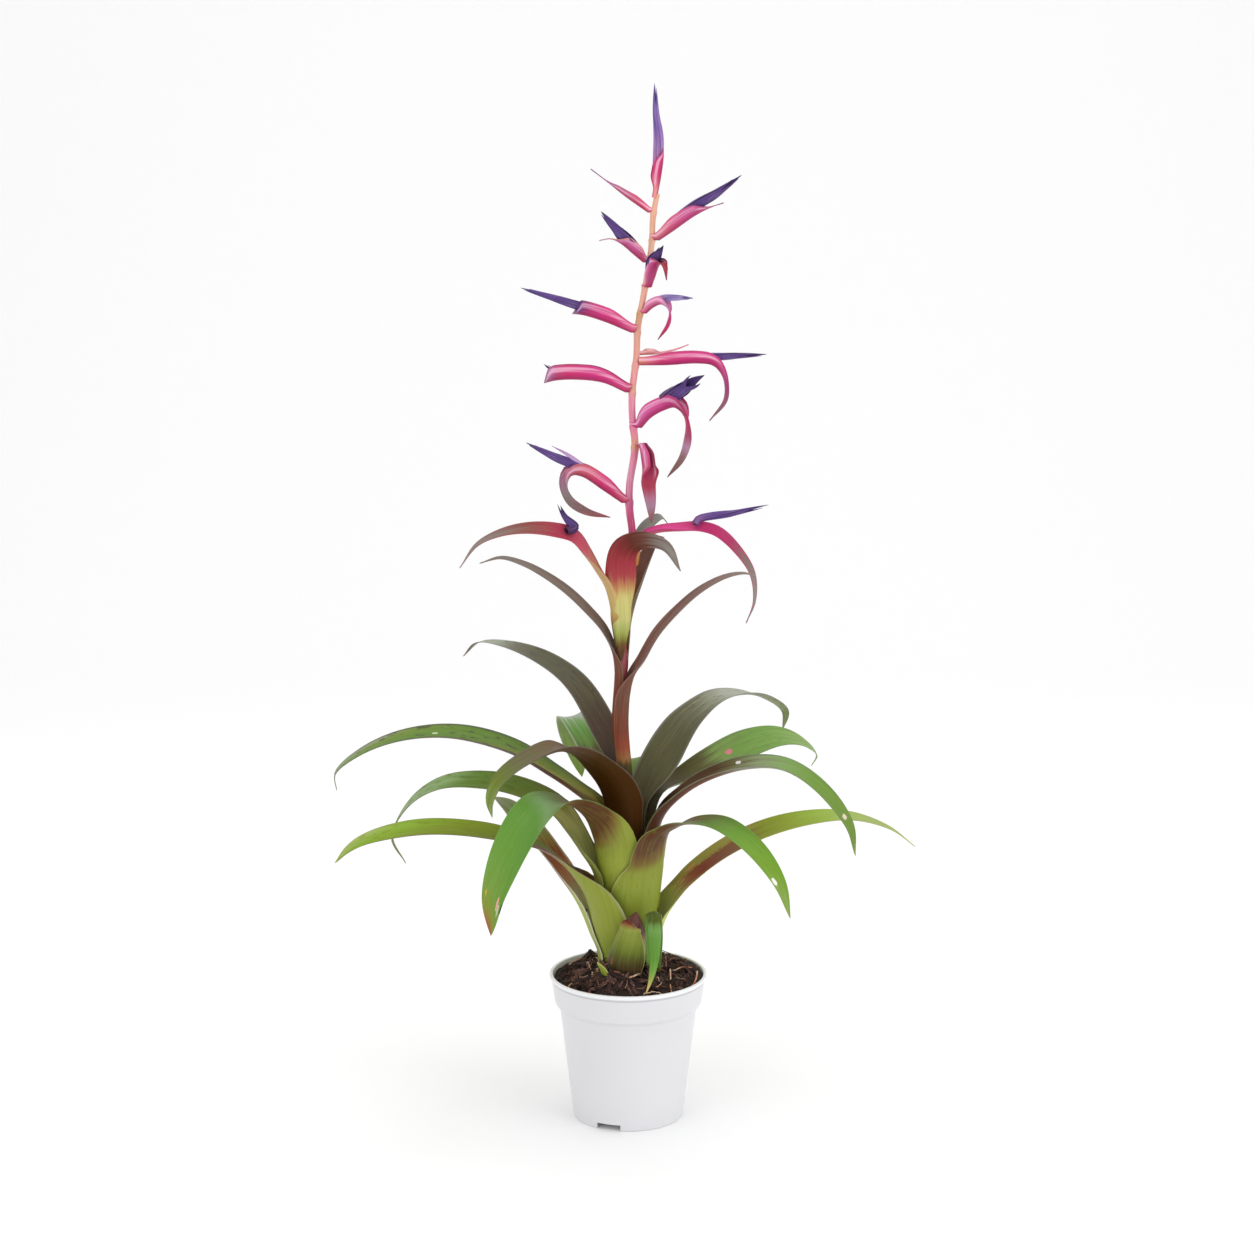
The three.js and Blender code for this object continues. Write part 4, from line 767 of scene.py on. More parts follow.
core = {"low": 62, "high": 119, "rings": 24, "radius": 2.5, "sides": 20}
stemPoints = walk([(plant["x"] + x, plant["y"], z) for x, z in stem["line"]], 0, stem["fineSteps"], 1.0)[0]


def stemAt(height):
    return np.array([np.interp(height, stemPoints[:, 2], stemPoints[:, i]) for i in range(2)] + [height])


stemLeaves = [
    {"name": "stem_leaf_right", "azimuth": -12, "ring": 6.8, "foot": 262, "leaves": 322, "clasp": [110, 110],
     "half": 8.4, "curl": 13, "roll": [-30, -32, -38], "opening": 30, "fullness": 1.8, "blade": [[11, 341],
     [18, 353], [29, 373], [43, 390], [61, 407], [80, 418], [94, 421], [103, 419]],
     "margin": ("#9a5a3c", "#8a7a72", 0.12), "shadeTint": "#3a2414",
     "outer": "0 3e3010, 9 4c3c16, 13 98683a, 20 93442e, 30 783a28, 50 6e4434, 62 86584c, 75 84605a, "
     "88 86736e, 100 8f8280",
     "inner": "0 6a5a2a, 50 70463a, 62 80564c, 80 806058, 100 8f857d"},
    {"name": "stem_leaf_left", "azimuth": 186, "ring": 4.8, "foot": 290, "leaves": 342, "clasp": [100, 100],
     "half": 6.6, "curl": 12, "roll": [24, 34, 34], "opening": 26, "fullness": 2.2, "blade": [[7, 359],
     [14, 375], [27, 391], [41, 405], [57, 417], [73, 426], [90, 431], [106, 427]],
     "margin": ("#8a6a3a", "#8a7d76", 0.14), "shadeTint": "#3a2418",
     "outer": "0 5e3a20, 20 74342a, 50 763e30, 60 785248, 70 866e66, 100 857a74",
     "inner": "0 6a5a2a, 50 5a4030, 70 75635a, 100 857c76"},
    {"name": "stem_bract_behind", "azimuth": 30, "ring": 4.6, "foot": 350, "leaves": 376, "clasp": [20, 64],
     "claspPower": 0.6, "swell": 1.5, "half": 14.5, "curl": 14, "roll": [0, 0, 0], "opening": 30,
     "blade": [[10, 395], [17, 414], [25, 432], [31, 443], [37, 442]], "margin": ("#6a4a2a", "#7a6650", 0.12),
     "mottle": 0.6, "mottleTint": "#5a3018", "mottleFrom": 0.35, "shadeTint": "#3a2a18",
     "outer": "0 5a5c20, 15 60602a, 24 7a6430, 36 9a6a3c, 46 84532e, 53 9a9450, 60 6a4a2c, 80 5c4a3e, "
     "100 6a5f58",
     "inner": "0 98a63c, 30 8a943a, 50 8a8840, 56 a09a50, 60 7a5228, 70 74472a, 80 7c5444, 90 6a483a, "
     "100 6a5f58"},
    {"name": "stem_bract_left", "azimuth": 190, "ring": 5.2, "foot": 362, "leaves": 390, "clasp": [24, 76],
     "claspPower": 0.6, "swell": 3.2, "half": 10.5, "curl": 10, "roll": [0, 52, 24], "opening": 26,
     "fullness": 1.35, "blade": [[13, 408], [20, 420], [29, 434], [38, 446], [52, 451], [72, 453], [92, 450],
     [109, 442], [122, 425]], "flower": {"share": 0.431, "lift": 3.8,
     "reach": [[36, 453], [43, 461], [48, 471]], "thick": 2.6, "look": "dark"},
     "margin": ("#b06a4a", "#b04a5c", 0.16), "marginStrength": 0.6, "shadeTint": "#6a1a2a", "shade": 0.2,
     "spots": [(0.42, 0.585, 0.09, 0.05, "#f0e0c2")],
     "outer": "0 70503a, 12 86684a, 22 98784a, 32 a8744e, 42 c09a58, 50 c8ae68, 58 d0ac78, 63 d0a078, "
     "66 c06060, 70 b83c52, 75 a03a48, 79 865048, 84 82685f, 92 8a7f78, 100 8f8a84",
     "inner": "0 a8a848, 50 c09a60, 58 d8b080, 66 c8566a, 73 b03450, 80 8a5048, 88 84716a, 100 8f8a84"},
    {"name": "stem_bract_front", "azimuth": -96, "ring": 4.6, "foot": 352, "leaves": 384, "clasp": [14, 62],
     "claspPower": 0.7, "swell": 3.2, "half": 14.5, "curl": 18, "roll": [0, 0, 0], "opening": 36,
     "fullness": 1.7, "blade": [[9.5, 402], [13, 419], [17, 434, 2], [22, 442, 8], [25, 446, 20],
     [25, 442, 35], [25, 424, 46]], "margin": ("#b9b060", "#7a4038", 0.08), "shadeTint": "#4a1414",
     "shade": 0.2, "streak": 0.12,
     "outer": "0 5e3c24, 10 5a3822, 20 6e5226, 27 8c8c3c, 34 a4ae58, 42 b6ba6c, 50 c6c478, 57.5 cfc478, "
     "61 c08a54, 65 a83c44, 70 a02c3c, 75 822428, 79 5e241a, 83 683c30, 88 7f7470, 93 8f8880, 100 80766e",
     "inner": "0 98a840, 50 b0a850, 60 a04050, 76 6a3a2c, 82 7f7268, 90 9a948c, 100 857b74"},
    {"name": "stem_bract_right", "azimuth": -5, "ring": 6.6, "foot": 424, "leaves": 436, "clasp": [80, 80],
     "half": 8, "curl": 6.2, "roll": [-10, -50, -40], "opening": 22, "fullness": 1.3, "blade": [[11, 445],
     [20, 449], [36, 451], [52, 452], [64, 449], [78, 437], [90, 419], [92, 398], [86, 381]],
     "flower": {"share": 0.328, "lift": 4, "reach": [[50, 459], [76, 464], [102, 470]], "thick": 2.3,
     "look": "streaked"}, "margin": ("#d04a90", "#c4407c", 0.3), "marginStrength": 0.7,
     "shadeTint": "#7a1038", "shade": 0.2,
     "outer": "0 b8783c, 50 c07a54, 54 cc6a88, 60 cf4e78, 66 cf3a80, 70 aa2c5c, 75 983050, 80 8c5a5e, "
     "90 857068, 100 7a7068",
     "inner": "0 c83a6a, 50 d8458c, 60 dd4a94, 70 c8306f, 77 a83460, 83 7f6a64, 92 8a837c, 100 7a7068"},
    {"name": "stem_bract_small", "azimuth": 46, "ring": 4.8, "foot": 434, "leaves": 444, "clasp": [50, 50],
     "half": 5, "curl": 8, "roll": [-30, -30, -30], "opening": 14, "rows": 30,
     "blade": [[10, 448], [20, 454], [31, 457], [40, 450]], "shadeTint": "#4a443c",
     "outer": "0 9a7a6a, 50 8a8278, 80 85857c, 100 9a9088",
     "inner": "0 9a7a6a, 50 80807a, 80 7a7c74, 100 948a84"},
]

# Floral bracts: each is rolled into a tube round its flower and ends in a free tip
bracts = [
    {"name": "bract_01_right", "azimuth": -45, "bore": 4.8, "tube": 0.3, "half": 8.6, "path": [[5.6, 514],
     [8, 508], [10, 498], [12.5, 485], [16, 470], [17.5, 457]],
     "outer": "0 cf5a90, 18 c2407a, 36 ab2a50, 55 a33048, 68 a86a84, 76 a08098, 86 8f6064, 100 7f5058",
     "inner": "0 b03060, 36 a82a4c, 55 a33048, 68 a86a84, 78 9a7a90, 88 8f6064, 100 7f5058"},
    {"name": "bract_02_left", "azimuth": 187, "bore": 5.2, "tube": 0.4, "half": 6.6, "twist": 58,
     "path": [[5.6, 471], [20, 481], [35, 491], [43, 492], [47, 485], [44, 474], [32, 465], [14, 460]],
     "flower": {"share": 0.27, "reach": [[37, 498], [58, 507], [77, 517]], "thick": 3, "look": "streaked",
     "extra": [[36, 499.5], [46, 507], [58, 514]]}, "mottle": 0.35, "mottleTint": "#c4686c",
     "mottleFrom": 0.05,
     "outer": "0 c8506c, 8 cc3c6a, 22 cf2c70, 32 cb4a64, 42 b85a62, 47 a8687c, 52 8f7a84, 66 7f716e, "
     "85 86605f, 100 a0505a",
     "inner": "0 a83050, 42 a04060, 50 a07088, 60 857878, 82 85625f, 100 a0505a"},
    {"name": "bract_03_right", "azimuth": -22, "bore": 5.3, "tube": 0.3, "half": 7.6, "twist": 52,
     "path": [[6.4, 527], [14, 535], [25, 541], [33, 543], [40, 537], [42, 521], [38, 506], [27, 491]],
     "flower": {"share": 0.27, "reach": [[24, 547], [38, 556], [54, 567]], "thick": 4.6, "look": "dark",
     "open": 0.9},
     "outer": "0 c04a80, 10 d0589a, 24 d24a92, 33 b83478, 40 a01c50, 50 b81e5c, 62 a84a68, 70 b48aa8, "
     "78 8f6a6a, 90 7a5f58, 100 855a60",
     "inner": "0 7a1434, 30 6a1226, 40 a8185a, 50 bb1f60, 62 a84a6c, 69 ba94b2, 78 8f6a6a, 90 7a5f58, "
     "100 855a60"},
    {"name": "bract_04_left", "azimuth": 172, "bore": 5.8, "tube": 0.95, "half": 8, "fullness": 40,
     "path": [[5, 553], [22, 560], [44, 562], [58, 561], [66, 559]], "flower": {"share": 0.27,
     "reach": [[44, 567], [58, 568], [66, 573]], "thick": 2.5, "look": "dark"}, "pale": 0.35,
     "lineTint": "#e890b8",
     "outer": "0 c8406c, 12 cf3a7c, 40 d22a7c, 70 cc2468, 82 b84070, 90 a06a94, 96 8a5a68, 100 8a6a9a",
     "inner": "0 a02050, 90 7a4a5a, 100 7a4a4a"},
    {"name": "bract_05_right", "azimuth": 6, "bore": 4.9, "tube": 0.5, "half": 4.2, "twist": 45,
     "path": [[4.2, 573], [24, 573], [46, 574], [58, 572], [66, 562], [67, 547], [55, 531]],
     "flower": {"share": 0.27, "reach": [[48, 578], [74, 579], [98, 580]], "thick": 2.6, "look": "dark"},
     "pale": 0.3, "lineTint": "#e888b0",
     "outer": "0 dc8a70, 5 d8707a, 14 cf3a74, 30 d02a78, 48 c82c72, 60 c43a80, 72 a8457c, 82 9a6078, "
     "90 8a6a68, 100 8a5f66",
     "inner": "0 d06068, 48 b03074, 64 c03a7c, 78 94486e, 90 84605f, 100 8a5f66"},
    {"name": "bract_05_pale", "azimuth": 34, "bore": 2.2, "tube": 0.2, "half": 3,
     "path": [[8, 580, 4], [20, 580, 4], [34, 582, 2], [47, 586]], "dust": 0.05, "lineTint": "#f2c8c0",
     "outer": "0 e8b0a0, 40 eaa8a8, 75 e58a98, 100 d05a80",
     "inner": "0 e8b0a0, 40 eaa8a8, 75 e58a98, 100 d05a80"},
    {"name": "bract_06_left", "azimuth": 186, "bore": 5.4, "tube": 0.95, "half": 7, "fullness": 30,
     "path": [[4.8, 597], [24, 605], [40, 610], [48, 611]], "flower": {"share": 0.27,
     "reach": [[48, 618], [67, 624], [86, 630]], "thick": 2.8, "look": "streaked"}, "pale": 0.4,
     "lineTint": "#eda0c0",
     "outer": "0 d8607c, 10 d24a80, 30 cf3474, 55 cf2c7c, 72 b82a70, 82 8a2a6a, 90 4f3a7a, 100 5a4a80",
     "inner": "0 b02a60, 75 8a2a5c, 90 5a3a7a, 100 5a4a80"},
    {"name": "bract_07_right", "azimuth": -30, "bore": 3.2, "tube": 0.3, "half": 4.8, "twist": 50,
     "path": [[5, 611], [10, 615], [18, 618], [24, 614], [23, 604], [15, 592]], "flower": {"share": 0.27,
     "reach": [[18, 622], [30, 623], [44, 623]], "thick": 2, "look": "lilac"},
     "outer": "0 dc6a84, 10 e07ca4, 35 de84b0, 47 b88ab8, 56 c43474, 75 c8266a, 90 a02a54, 100 8a2a4a",
     "inner": "0 cc5a84, 40 c06aa0, 54 c43474, 75 c8266a, 90 a02a54, 100 8a2a4a"},
    {"name": "bract_08_front", "azimuth": -58, "bore": 4, "tube": 0.48, "half": 5.6, "twist": 30,
     "path": [[6.6, 630], [10, 637], [15, 645], [21, 648], [26, 645], [29, 636]], "flower": {"share": 0.27,
     "reach": [[10, 648], [17, 654], [23, 661]], "thick": 3.5, "look": "dark"},
     "outer": "0 c83a64, 12 d67aa4, 30 d86aa0, 50 c84a88, 62 a02048, 80 9a1c34, 100 6f2c56",
     "inner": "0 a82a50, 45 6a1430, 60 8a1a30, 80 a01c34, 100 6f2c56"},
    {"name": "bract_09_left", "azimuth": 196, "bore": 4.1, "tube": 0.5, "half": 3.6, "path": [[4.6, 648],
     [12, 654], [22, 662], [29, 665], [38, 664]], "flower": {"share": 0.27,
     "reach": [[20, 667], [28, 675], [37, 685]], "thick": 3.4, "look": "dark"},
     "margin": ("#e8b888", "#e0a080", 0.3), "marginStrength": 0.6,
     "outer": "0 d86a84, 12 cc4a74, 35 c8609a, 60 c06090, 80 b06a8c, 100 7a5a92",
     "inner": "0 e8b888, 30 dd9a80, 60 b87a90, 100 7a5a92"},
    {"name": "bract_10_right", "azimuth": -12, "bore": 4.8, "tube": 0.66, "half": 4, "path": [[5.4, 664],
     [16, 671], [32, 682], [44, 688], [53, 691]], "flower": {"share": 0.27,
     "reach": [[34, 690], [48, 698], [66, 711]], "thick": 3.2, "look": "dark"}, "pale": 0.4,
     "lineTint": "#f0b0bc",
     "outer": "0 d97a7c, 10 dc7484, 25 d45a80, 50 c8528e, 70 bc4c84, 85 b05a80, 100 6f4a8a",
     "inner": "0 d06a80, 70 a85088, 100 6f4a8a"},
    {"name": "bract_11_left", "azimuth": 176, "bore": 3.3, "tube": 0.6, "half": 6, "fullness": 1.2,
     "path": [[4.2, 684], [20, 695], [34, 706], [46, 715]],
     "outer": "0 e07a80, 10 d84a6a, 35 c8607c, 60 b0628a, 80 8a5a94, 100 6a4278",
     "inner": "0 d84a6a, 50 b85a80, 100 6a4278"},
    {"name": "bract_12_top", "azimuth": 10, "bore": 3.8, "tube": 0.5, "half": 3, "path": [[0.6, 699],
     [3, 712], [4.5, 726], [3.8, 737], [3.6, 743]], "flower": {"share": 0.4,
     "reach": [[1, 735], [-1, 757], [-2, 776]], "thick": 2.8, "look": "pale"}, "narrow": 0.48,
     "outer": "0 e88a84, 12 e06a80, 30 cf2e6c, 50 cc3470, 70 b8508c, 85 8a5aa4, 100 6a4a98",
     "inner": "0 d84a70, 50 b03a78, 100 6a4a98"},
]

flowerLooks = {
    "dark": "0 4a1c3a, 20 4a2a60, 50 563a80, 85 4a2f6c, 100 3c2456",
    "streaked": "0 8a5a8e, 30 604088, 55 583c80, 85 563c7c, 100 442c66",
    "lilac": "0 b89ac8, 40 9a84c4, 80 a494cc, 100 8070b0",
    "pale": "0 c06aa0, 25 a882be, 50 8a68b2, 75 8468aa, 100 5f4684",
    "petal": "0 d8b0d0, 50 c8a2d0, 100 b088c0",
}
bractGrain = {"rows": 44, "segments": 16, "thick": 0.8, "wrap": 150, "root": 2.0, "narrow": 0.62,
              "twistRun": 0.4, "openFrom": 0.9, "openRun": 0.25, "openCurl": 1.8, "drawnOn": 5}
petalGrain = {"rows": 26, "segments": 8, "thick": 0.35, "edge": 0.2, "twist": 1.2, "full": 1.45,
              "lengths": (1.0, 0.93, 0.86), "firstTurn": 0.4}
# bracts get a painted shade beneath the tube and a painted pale pink highlight on its flanks
bractBase = {"pale": 0.2, "lineTint": "#e8a0b4", "shade": 0.25, "shadeTint": "#7a1040", "dust": 0.04,
             "dustTint": "#c8b4bc", "belly": 0.75, "bellyShadeTint": "#9a1450", "paintedHighlight": 0.75,
             "paintedHighlightTint": "#f6c0dc", "margin": ("#d06a94", "#8f5a70", 0.08), "marginStrength": 0.3,
             "gloss": 0.4, "streak": 0.08, "fineness": 1.3}
petalBase = {"pale": 0.55, "lineTint": "#b8a4cc", "shade": 0.5, "shadeTint": "#2a1440", "dust": 0.04,
             "margin": ("#5a4090", "#4a2f80", 0.2), "marginStrength": 0.4, "gloss": 0.35, "relief": 0.3,
             "fineness": 1.6}


def bractStrip(bract, foot):
    points = besideLine(bract["path"], bract["azimuth"], foot)
    spots, tangents, along, total = walk(points, 0, bractGrain["rows"])
    step = points[1] - points[0]
    steep = step[2] > np.linalg.norm(step) * 0.9
    normals, acrosses = carryNormals(tangents, -outward(bract["azimuth"]) if steep else (0, 0, 1))
    share = along / total
    tube, bore = bract["tube"], bract["bore"]
    turn = bract.get("twist", 0) * smooth(share, tube, min(tube + bractGrain["twistRun"], 1))
    normals, acrosses = rolled(normals, acrosses, turn)
    opened = smooth(share, tube * bractGrain["openFrom"], min(tube + bractGrain["openRun"], 1))
    belly = between(bract.get("narrow", bractGrain["narrow"]), 1, smooth(share, 0, tube * 0.5))
    curl = between(bore * belly, bract["half"] * bractGrain["openCurl"], opened)
    rolledHalf = math.radians(bractGrain["wrap"]) * bore * belly
    half = between(rolledHalf, bract["half"], opened) * taper(share, bract.get("fullness", grain["fullness"]))
    half, thick = np.maximum(half, grain["tipHalf"]), np.full(len(share), bractGrain["thick"])
    rows = [spots, normals, acrosses, curl, half, thick, share, along]
    rows = [np.concatenate([row[:1], row]) for row in rows]
    # the foot is drawn on round the stem, or else into its side
    into = outward(bract["azimuth"]) * (bract["path"][0][0] - bractGrain["root"])
    rows[0][0] -= tangents[0] * bractGrain["drawnOn"] if steep else into
    return Strip(*rows)


def petal(path, thick, angle, shift, opening):
    spots, tangents, along, total = walk(path, 0, petalGrain["rows"], 1.1)
    normals, acrosses = carryNormals(tangents, (0, 0, 1))
    share = along / total
    size = thick * (0.75 + 0.25 * np.sin(math.pi * share)) * np.maximum(taper(share, 2.2), 0.04)
    turn = angle + share * petalGrain["twist"]
    away = normals * np.cos(turn)[:, None] + acrosses * np.sin(turn)[:, None]
    spread = size * 0.8 + shift + opening * thick * smooth(share, 0.55, 1) * 0.8
    half = np.maximum(size * 1.5 * (1 - 0.25 * smooth(share, 0.5, 1)), 0.3)
    thin = np.full(len(share), petalGrain["thick"])
    return Strip(spots + away * spread[:, None] * smooth(share, -0.3, 0.1)[:, None], -away,
                 np.cross(-away, tangents), np.maximum(size * 1.05, 0.5), half, thin, share, along)


flowerPaints = {key: stripMaterial("flower_" + key, {**petalBase, "outer": bands, "inner": bands})
                for key, bands in flowerLooks.items()}


def makeFlower(bract, strip, foot):
    flower, name = bract["flower"], bract["name"].replace("bract", "flower")
    shares = strip.along if "tube" in bract else (strip.along - 0.5) * 2
    k = np.argmin(np.abs(shares - flower["share"]))
    first = strip.point[k] + strip.normal[k] * flower.get("lift", strip.curl[k])
    path = [first] + besideLine(flower["reach"], bract["azimuth"], foot)
    strips = []
    for number, length in enumerate(petalGrain["lengths"]):
        ending = path[:-1] + [between(path[-2], path[-1], 1 - (1 - length) * 2.4)]
        turn = number * math.tau / len(petalGrain["lengths"]) + petalGrain["firstTurn"]
        thick = flower["thick"] * petalGrain["full"]
        strips.append(petal(ending, thick, turn, number * 0.12, flower.get("open", 0.25)))
    mesh = stripMesh(name, strips, petalGrain["segments"], petalGrain["edge"])
    replaceNode(name, mesh, flowerPaints[flower["look"]], "flower")
    if "extra" in flower:  # a petal on its own
        more = [first] + besideLine(flower["extra"], bract["azimuth"], foot)
        lone = petal(more, flower["thick"] * 0.8, 0.0, 0.3, 0.1)
        mesh = stripMesh(name + "_petal", [lone], petalGrain["segments"], petalGrain["edge"])
        finishPiece(name + "_petal", mesh, flowerPaints["petal"], "flower")


def makeStemPieces():
    for leaf in stemLeaves:
        def radiusAt(height):
            return leaf["ring"] + leaf.get("swell", 0) * smooth(height, leaf["foot"], leaf["leaves"])

        name = leaf["name"]
        strip = sheathedStrip(leaf, radiusAt, stemAt)
        mesh = stripMesh(name, [strip], grain["segments"])
        replaceNode(name, mesh, stripMaterial(name, leaf), "stem_leaf")
        if "flower" in leaf:
            makeFlower(leaf, strip, stemAt(leaf["leaves"]))
    for bract in bracts:
        name, foot = bract["name"], stemAt(bract["path"][0][1])
        strip = bractStrip(bract, foot)
        mesh = stripMesh(name, [strip], bractGrain["segments"])
        replaceNode(name, mesh, stripMaterial(name, {**bractBase, **bract}), "bract")
        if "flower" in bract:
            makeFlower(bract, strip, foot)


makeStemPieces()
print("stem leaves, bracts and flowers made")

# Round bodies along a line

def addTube(points, faces, rings, ends):  # rings of points, closed by a fan at each end
    base, sides = len(points), len(rings[0])
    for ring in rings:
        points += ring
    for i in range(len(rings) - 1):
        low, high = base + i * sides, base + (i + 1) * sides
        for j in range(sides):
            k = (j + 1) % sides
            faces.append([low + j, low + k, high + k, high + j])
    for low, end in ((base, ends[0]), (base + (len(rings) - 1) * sides, ends[1])):
        faces += [[low + j, low + (j + 1) % sides, len(points)] for j in range(sides)]
        points.append(end)


def tubeMesh(name, lines, sides):  # each line is (points, radii); both ends come to a point
    points, faces = [], []
    turns = np.arange(sides) * math.tau / sides
    for line, radii in lines:
        line = np.asarray(line, float)
        slopes = np.gradient(line, axis=0)
        slopes /= np.linalg.norm(slopes, axis=1, keepdims=True)
        normals, acrosses = carryNormals(slopes, (1, 0, 0) if abs(slopes[0][0]) < 0.8 else (0, 1, 0))
        rings = [[spot + (normal * math.cos(turn) + across * math.sin(turn)) * radius for turn in turns]
                 for spot, normal, across, radius in zip(line, normals, acrosses, radii)]
        ends = (line[0] - slopes[0] * radii[0] * 0.5, line[-1] + slopes[-1] * radii[-1] * 0.5)
        addTube(points, faces, rings, ends)
    return newMesh(name, points, faces)


def stemPaint(w, place, height):
    low, high = stem["low"], stem["high"]
    fine = w.noise(place, (900, 900, 40))
    share = (height - low) / (high - low) + (fine - 0.5) * 0.03
    colour = w.ramp(share, stem["colours"], low, high)
    colour = w.blend(w.rise(fine, 0.52, 0.75, 0.0, 0.35), colour, "#f2c4bc")
    return w.blend(w.rise(fine, 0.48, 0.3, 0.0, 0.3), colour, "#a83a50"), fine, 0.3, 0.0003


def corePaint(w, place, height):
    fine = w.noise(place, (300, 300, 60))
    return w.ramp(fine, "30 5f6a2c, 70 94995a"), fine, 0.3, 0.0005


def makeStem():
    low, high = stem["line"][0][1], stem["line"][-1][1]
    heights = np.linspace(low, high, stem["rings"])
    radii = between(stem["radius"], stem["tipRadius"], smooth(heights, stem["thinFrom"], high))
    swell = stem["swell"]
    radii = radii + swell["by"] * np.exp(-((heights - swell["at"]) / swell["spread"]) ** 2)
    for node in stem["nodes"]:
        radii = radii + stem["nodeRing"] * np.exp(-((heights - node) / stem["nodeSpread"]) ** 2)
        radii += stem["nodeSwell"] * smooth(heights, node - stem["nodeLength"], node) * (heights < node + 1)
    mesh = tubeMesh("flower_stem", [([stemAt(h) for h in heights], radii)], stem["sides"])
    replaceNode("flower_stem", mesh, plainMaterial("flower_stem", 0.42, stemPaint), "stem")
    heights = np.linspace(core["low"], core["high"], core["rings"])
    line = [plantAxis(h) for h in heights]
    mesh = tubeMesh("short_stem", [(line, np.full(core["rings"], core["radius"]))], core["sides"])
    replaceNode("short_stem", mesh, plainMaterial("short_stem", 0.6, corePaint), "stem")


makeStem()
print("stems made")


# Pup at the front of the plant

pup = {
    "x": -4.5, "y": -21, "foot": 104, "tip": 168, "radius": 14.2, "lean": (10.6, -6), "rings": 70, "sides": 72,
    "seams": [(-20, 100, 0.5), (60, 60, 0.4), (170, -60, 0.4)],  # azimuth at the foot, turn by the tip, step
    "colourFrom": 0.104, "colourHeight": 0.058,
    "colours": "0 3a2c12, 14 4a4416, 28 66701c, 45 7f8a24, 60 8a8f30, 74 8a6a30, 82 6a2c1c, 90 561a12, "
    "100 5c2620",
}
pupPieces = {
    "pup_scale": {"azimuth": -132, "foot": 104, "leaves": 154, "clasp": [112, 74], "claspPower": 2, "half": 8,
     "curl": 8, "roll": [0, 0, 0], "opening": 16, "fullness": 2.6, "sheathRows": 40, "rows": 14,
     "blade": [[9.4, 157.5], [6.4, 163]], "segments": 24, "margin": ("#b9b86e", "#cdc48a", 0.08),
     "marginStrength": 0.7, "lean": 0.06, "streak": 0.1, "spots": [(0.44, 0.27, 0.022, 0.032, "#b0683e"),
     (0.446, 0.275, 0.009, 0.02, "#6a3020")],
     "outer": "0 2e1a10, 12 3c2416, 20 46321a, 26 4a3e16, 32 56591a, 38 6c7a24, 46 828f34, 60 929a42, "
     "74 8c7a38, 80 8a5a30, 86 7a3420, 93 661f18, 100 6a2420",
     "inner": "0 686c1e, 60 8e9f36, 100 87502a"},
    "pup_leaf": {"path": [[19, -8, 113], [19.5, -9, 138], [19, -16, 160], [19, -29, 168], [20, -41, 158],
     [19.5, -47.5, 137], [16.5, -51.5, 122], [13, -54, 112.5]], "faces": [0, 1, 0], "half": 8, "narrow": 0.7,
     "curl": -9, "fullness": 2.2, "rows": 48, "segments": 14, "pale": 0.35, "lineTint": "#a8cfa4",
     "margin": ("#8aa050", "#4f8a34", 0.12), "gloss": 0.32,
     "outer": "0 7e8a28, 8 74a04c, 40 74a04c, 50 5e8d2f, 62 67983b, 80 649238, 90 8ea82f, 100 c49d41",
     # painted shade: the dark olive from 30 to 57.5 on the inner face is the shade on top of the bend, and the
     # paler green about 63 after it is a painted highlight where the leaf turns down
     "inner": "0 7f8a28, 30 59641a, 57.5 4f5c14, 60 688c40, 63 6c9a4a, 68 5f8f34, 80 5c8c2c, 87 6c9838, "
     "92 98a04c, 96 c8a860, 100 d8b878"},
    "leaf_stub": {"path": [[-16.5, -30, 107], [-17.5, -31.5, 115], [-19.5, -33, 123], [-23, -34, 131]],
     "faces": [0.85, 0.53, 0], "half": 6.5, "narrow": 0.9, "curl": 9, "fullness": 6, "rows": 24,
     "segments": 14, "margin": ("#a8ae54", "#c8cc7a", 0.16), "marginStrength": 0.9,
     "outer": "0 686c1e, 50 859427, 80 a1b042, 100 c4cc62",
     "inner": "0 4d4b17, 50 6e7620, 80 96a034, 100 c4cc62"},
}


def pupShare(height):
    return (height - pup["foot"]) / (pup["tip"] - pup["foot"])


def pupAxis(height):
    share = pupShare(height)
    return np.array([pup["x"] + pup["lean"][0] * share, pup["y"] + pup["lean"][1] * share, height])


def pupRadius(height):
    share = min(max(pupShare(height), 0), 1)
    return pup["radius"] * between(0.55, 1, smooth(share, 0, 0.5)) * max(1 - share ** 3.2, 0) ** 0.8


def budMesh():  # a bud whose outer scales step down along slanting seams
    rings = []
    for i in range(pup["rings"]):
        share = i / pup["rings"]
        height = between(pup["foot"], pup["tip"], share)
        ring = []
        for j in range(pup["sides"]):
            azimuth = 360 * j / pup["sides"]
            step = 0
            for start, turn, size in pup["seams"]:
                behind = (azimuth - start - turn * share) % 360
                step += size * smooth(behind, 0, 5) * (1 - smooth(behind, 40, 200))
            radius = max(pupRadius(height) - 0.5 + step * min(1, pupRadius(height) / 5), 0.3)
            ring.append(pupAxis(height) + outward(azimuth) * radius)
        rings.append(ring)
    points, faces = [], []
    addTube(points, faces, rings, (pupAxis(pup["foot"]), pupAxis(pup["tip"])))
    return newMesh("pup_bud", points, faces)


def budPaint(w, place, height):
    broad, fine = w.noise(place, (160, 160, 40)), w.noise(place, (1400, 1400, 60), 2.0)
    share = (height - pup["colourFrom"]) / pup["colourHeight"] + (broad - 0.5) * 0.14
    colour = w.blend(w.rise(fine, 0.5, 0.75, 0.0, 0.08), w.ramp(share, pup["colours"]), "#c0c47a")
    return w.blend(w.rise(broad, 0.45, 0.3, 0.0, 0.4), colour, "#4a5a18"), fine, 0.2, 0.0003


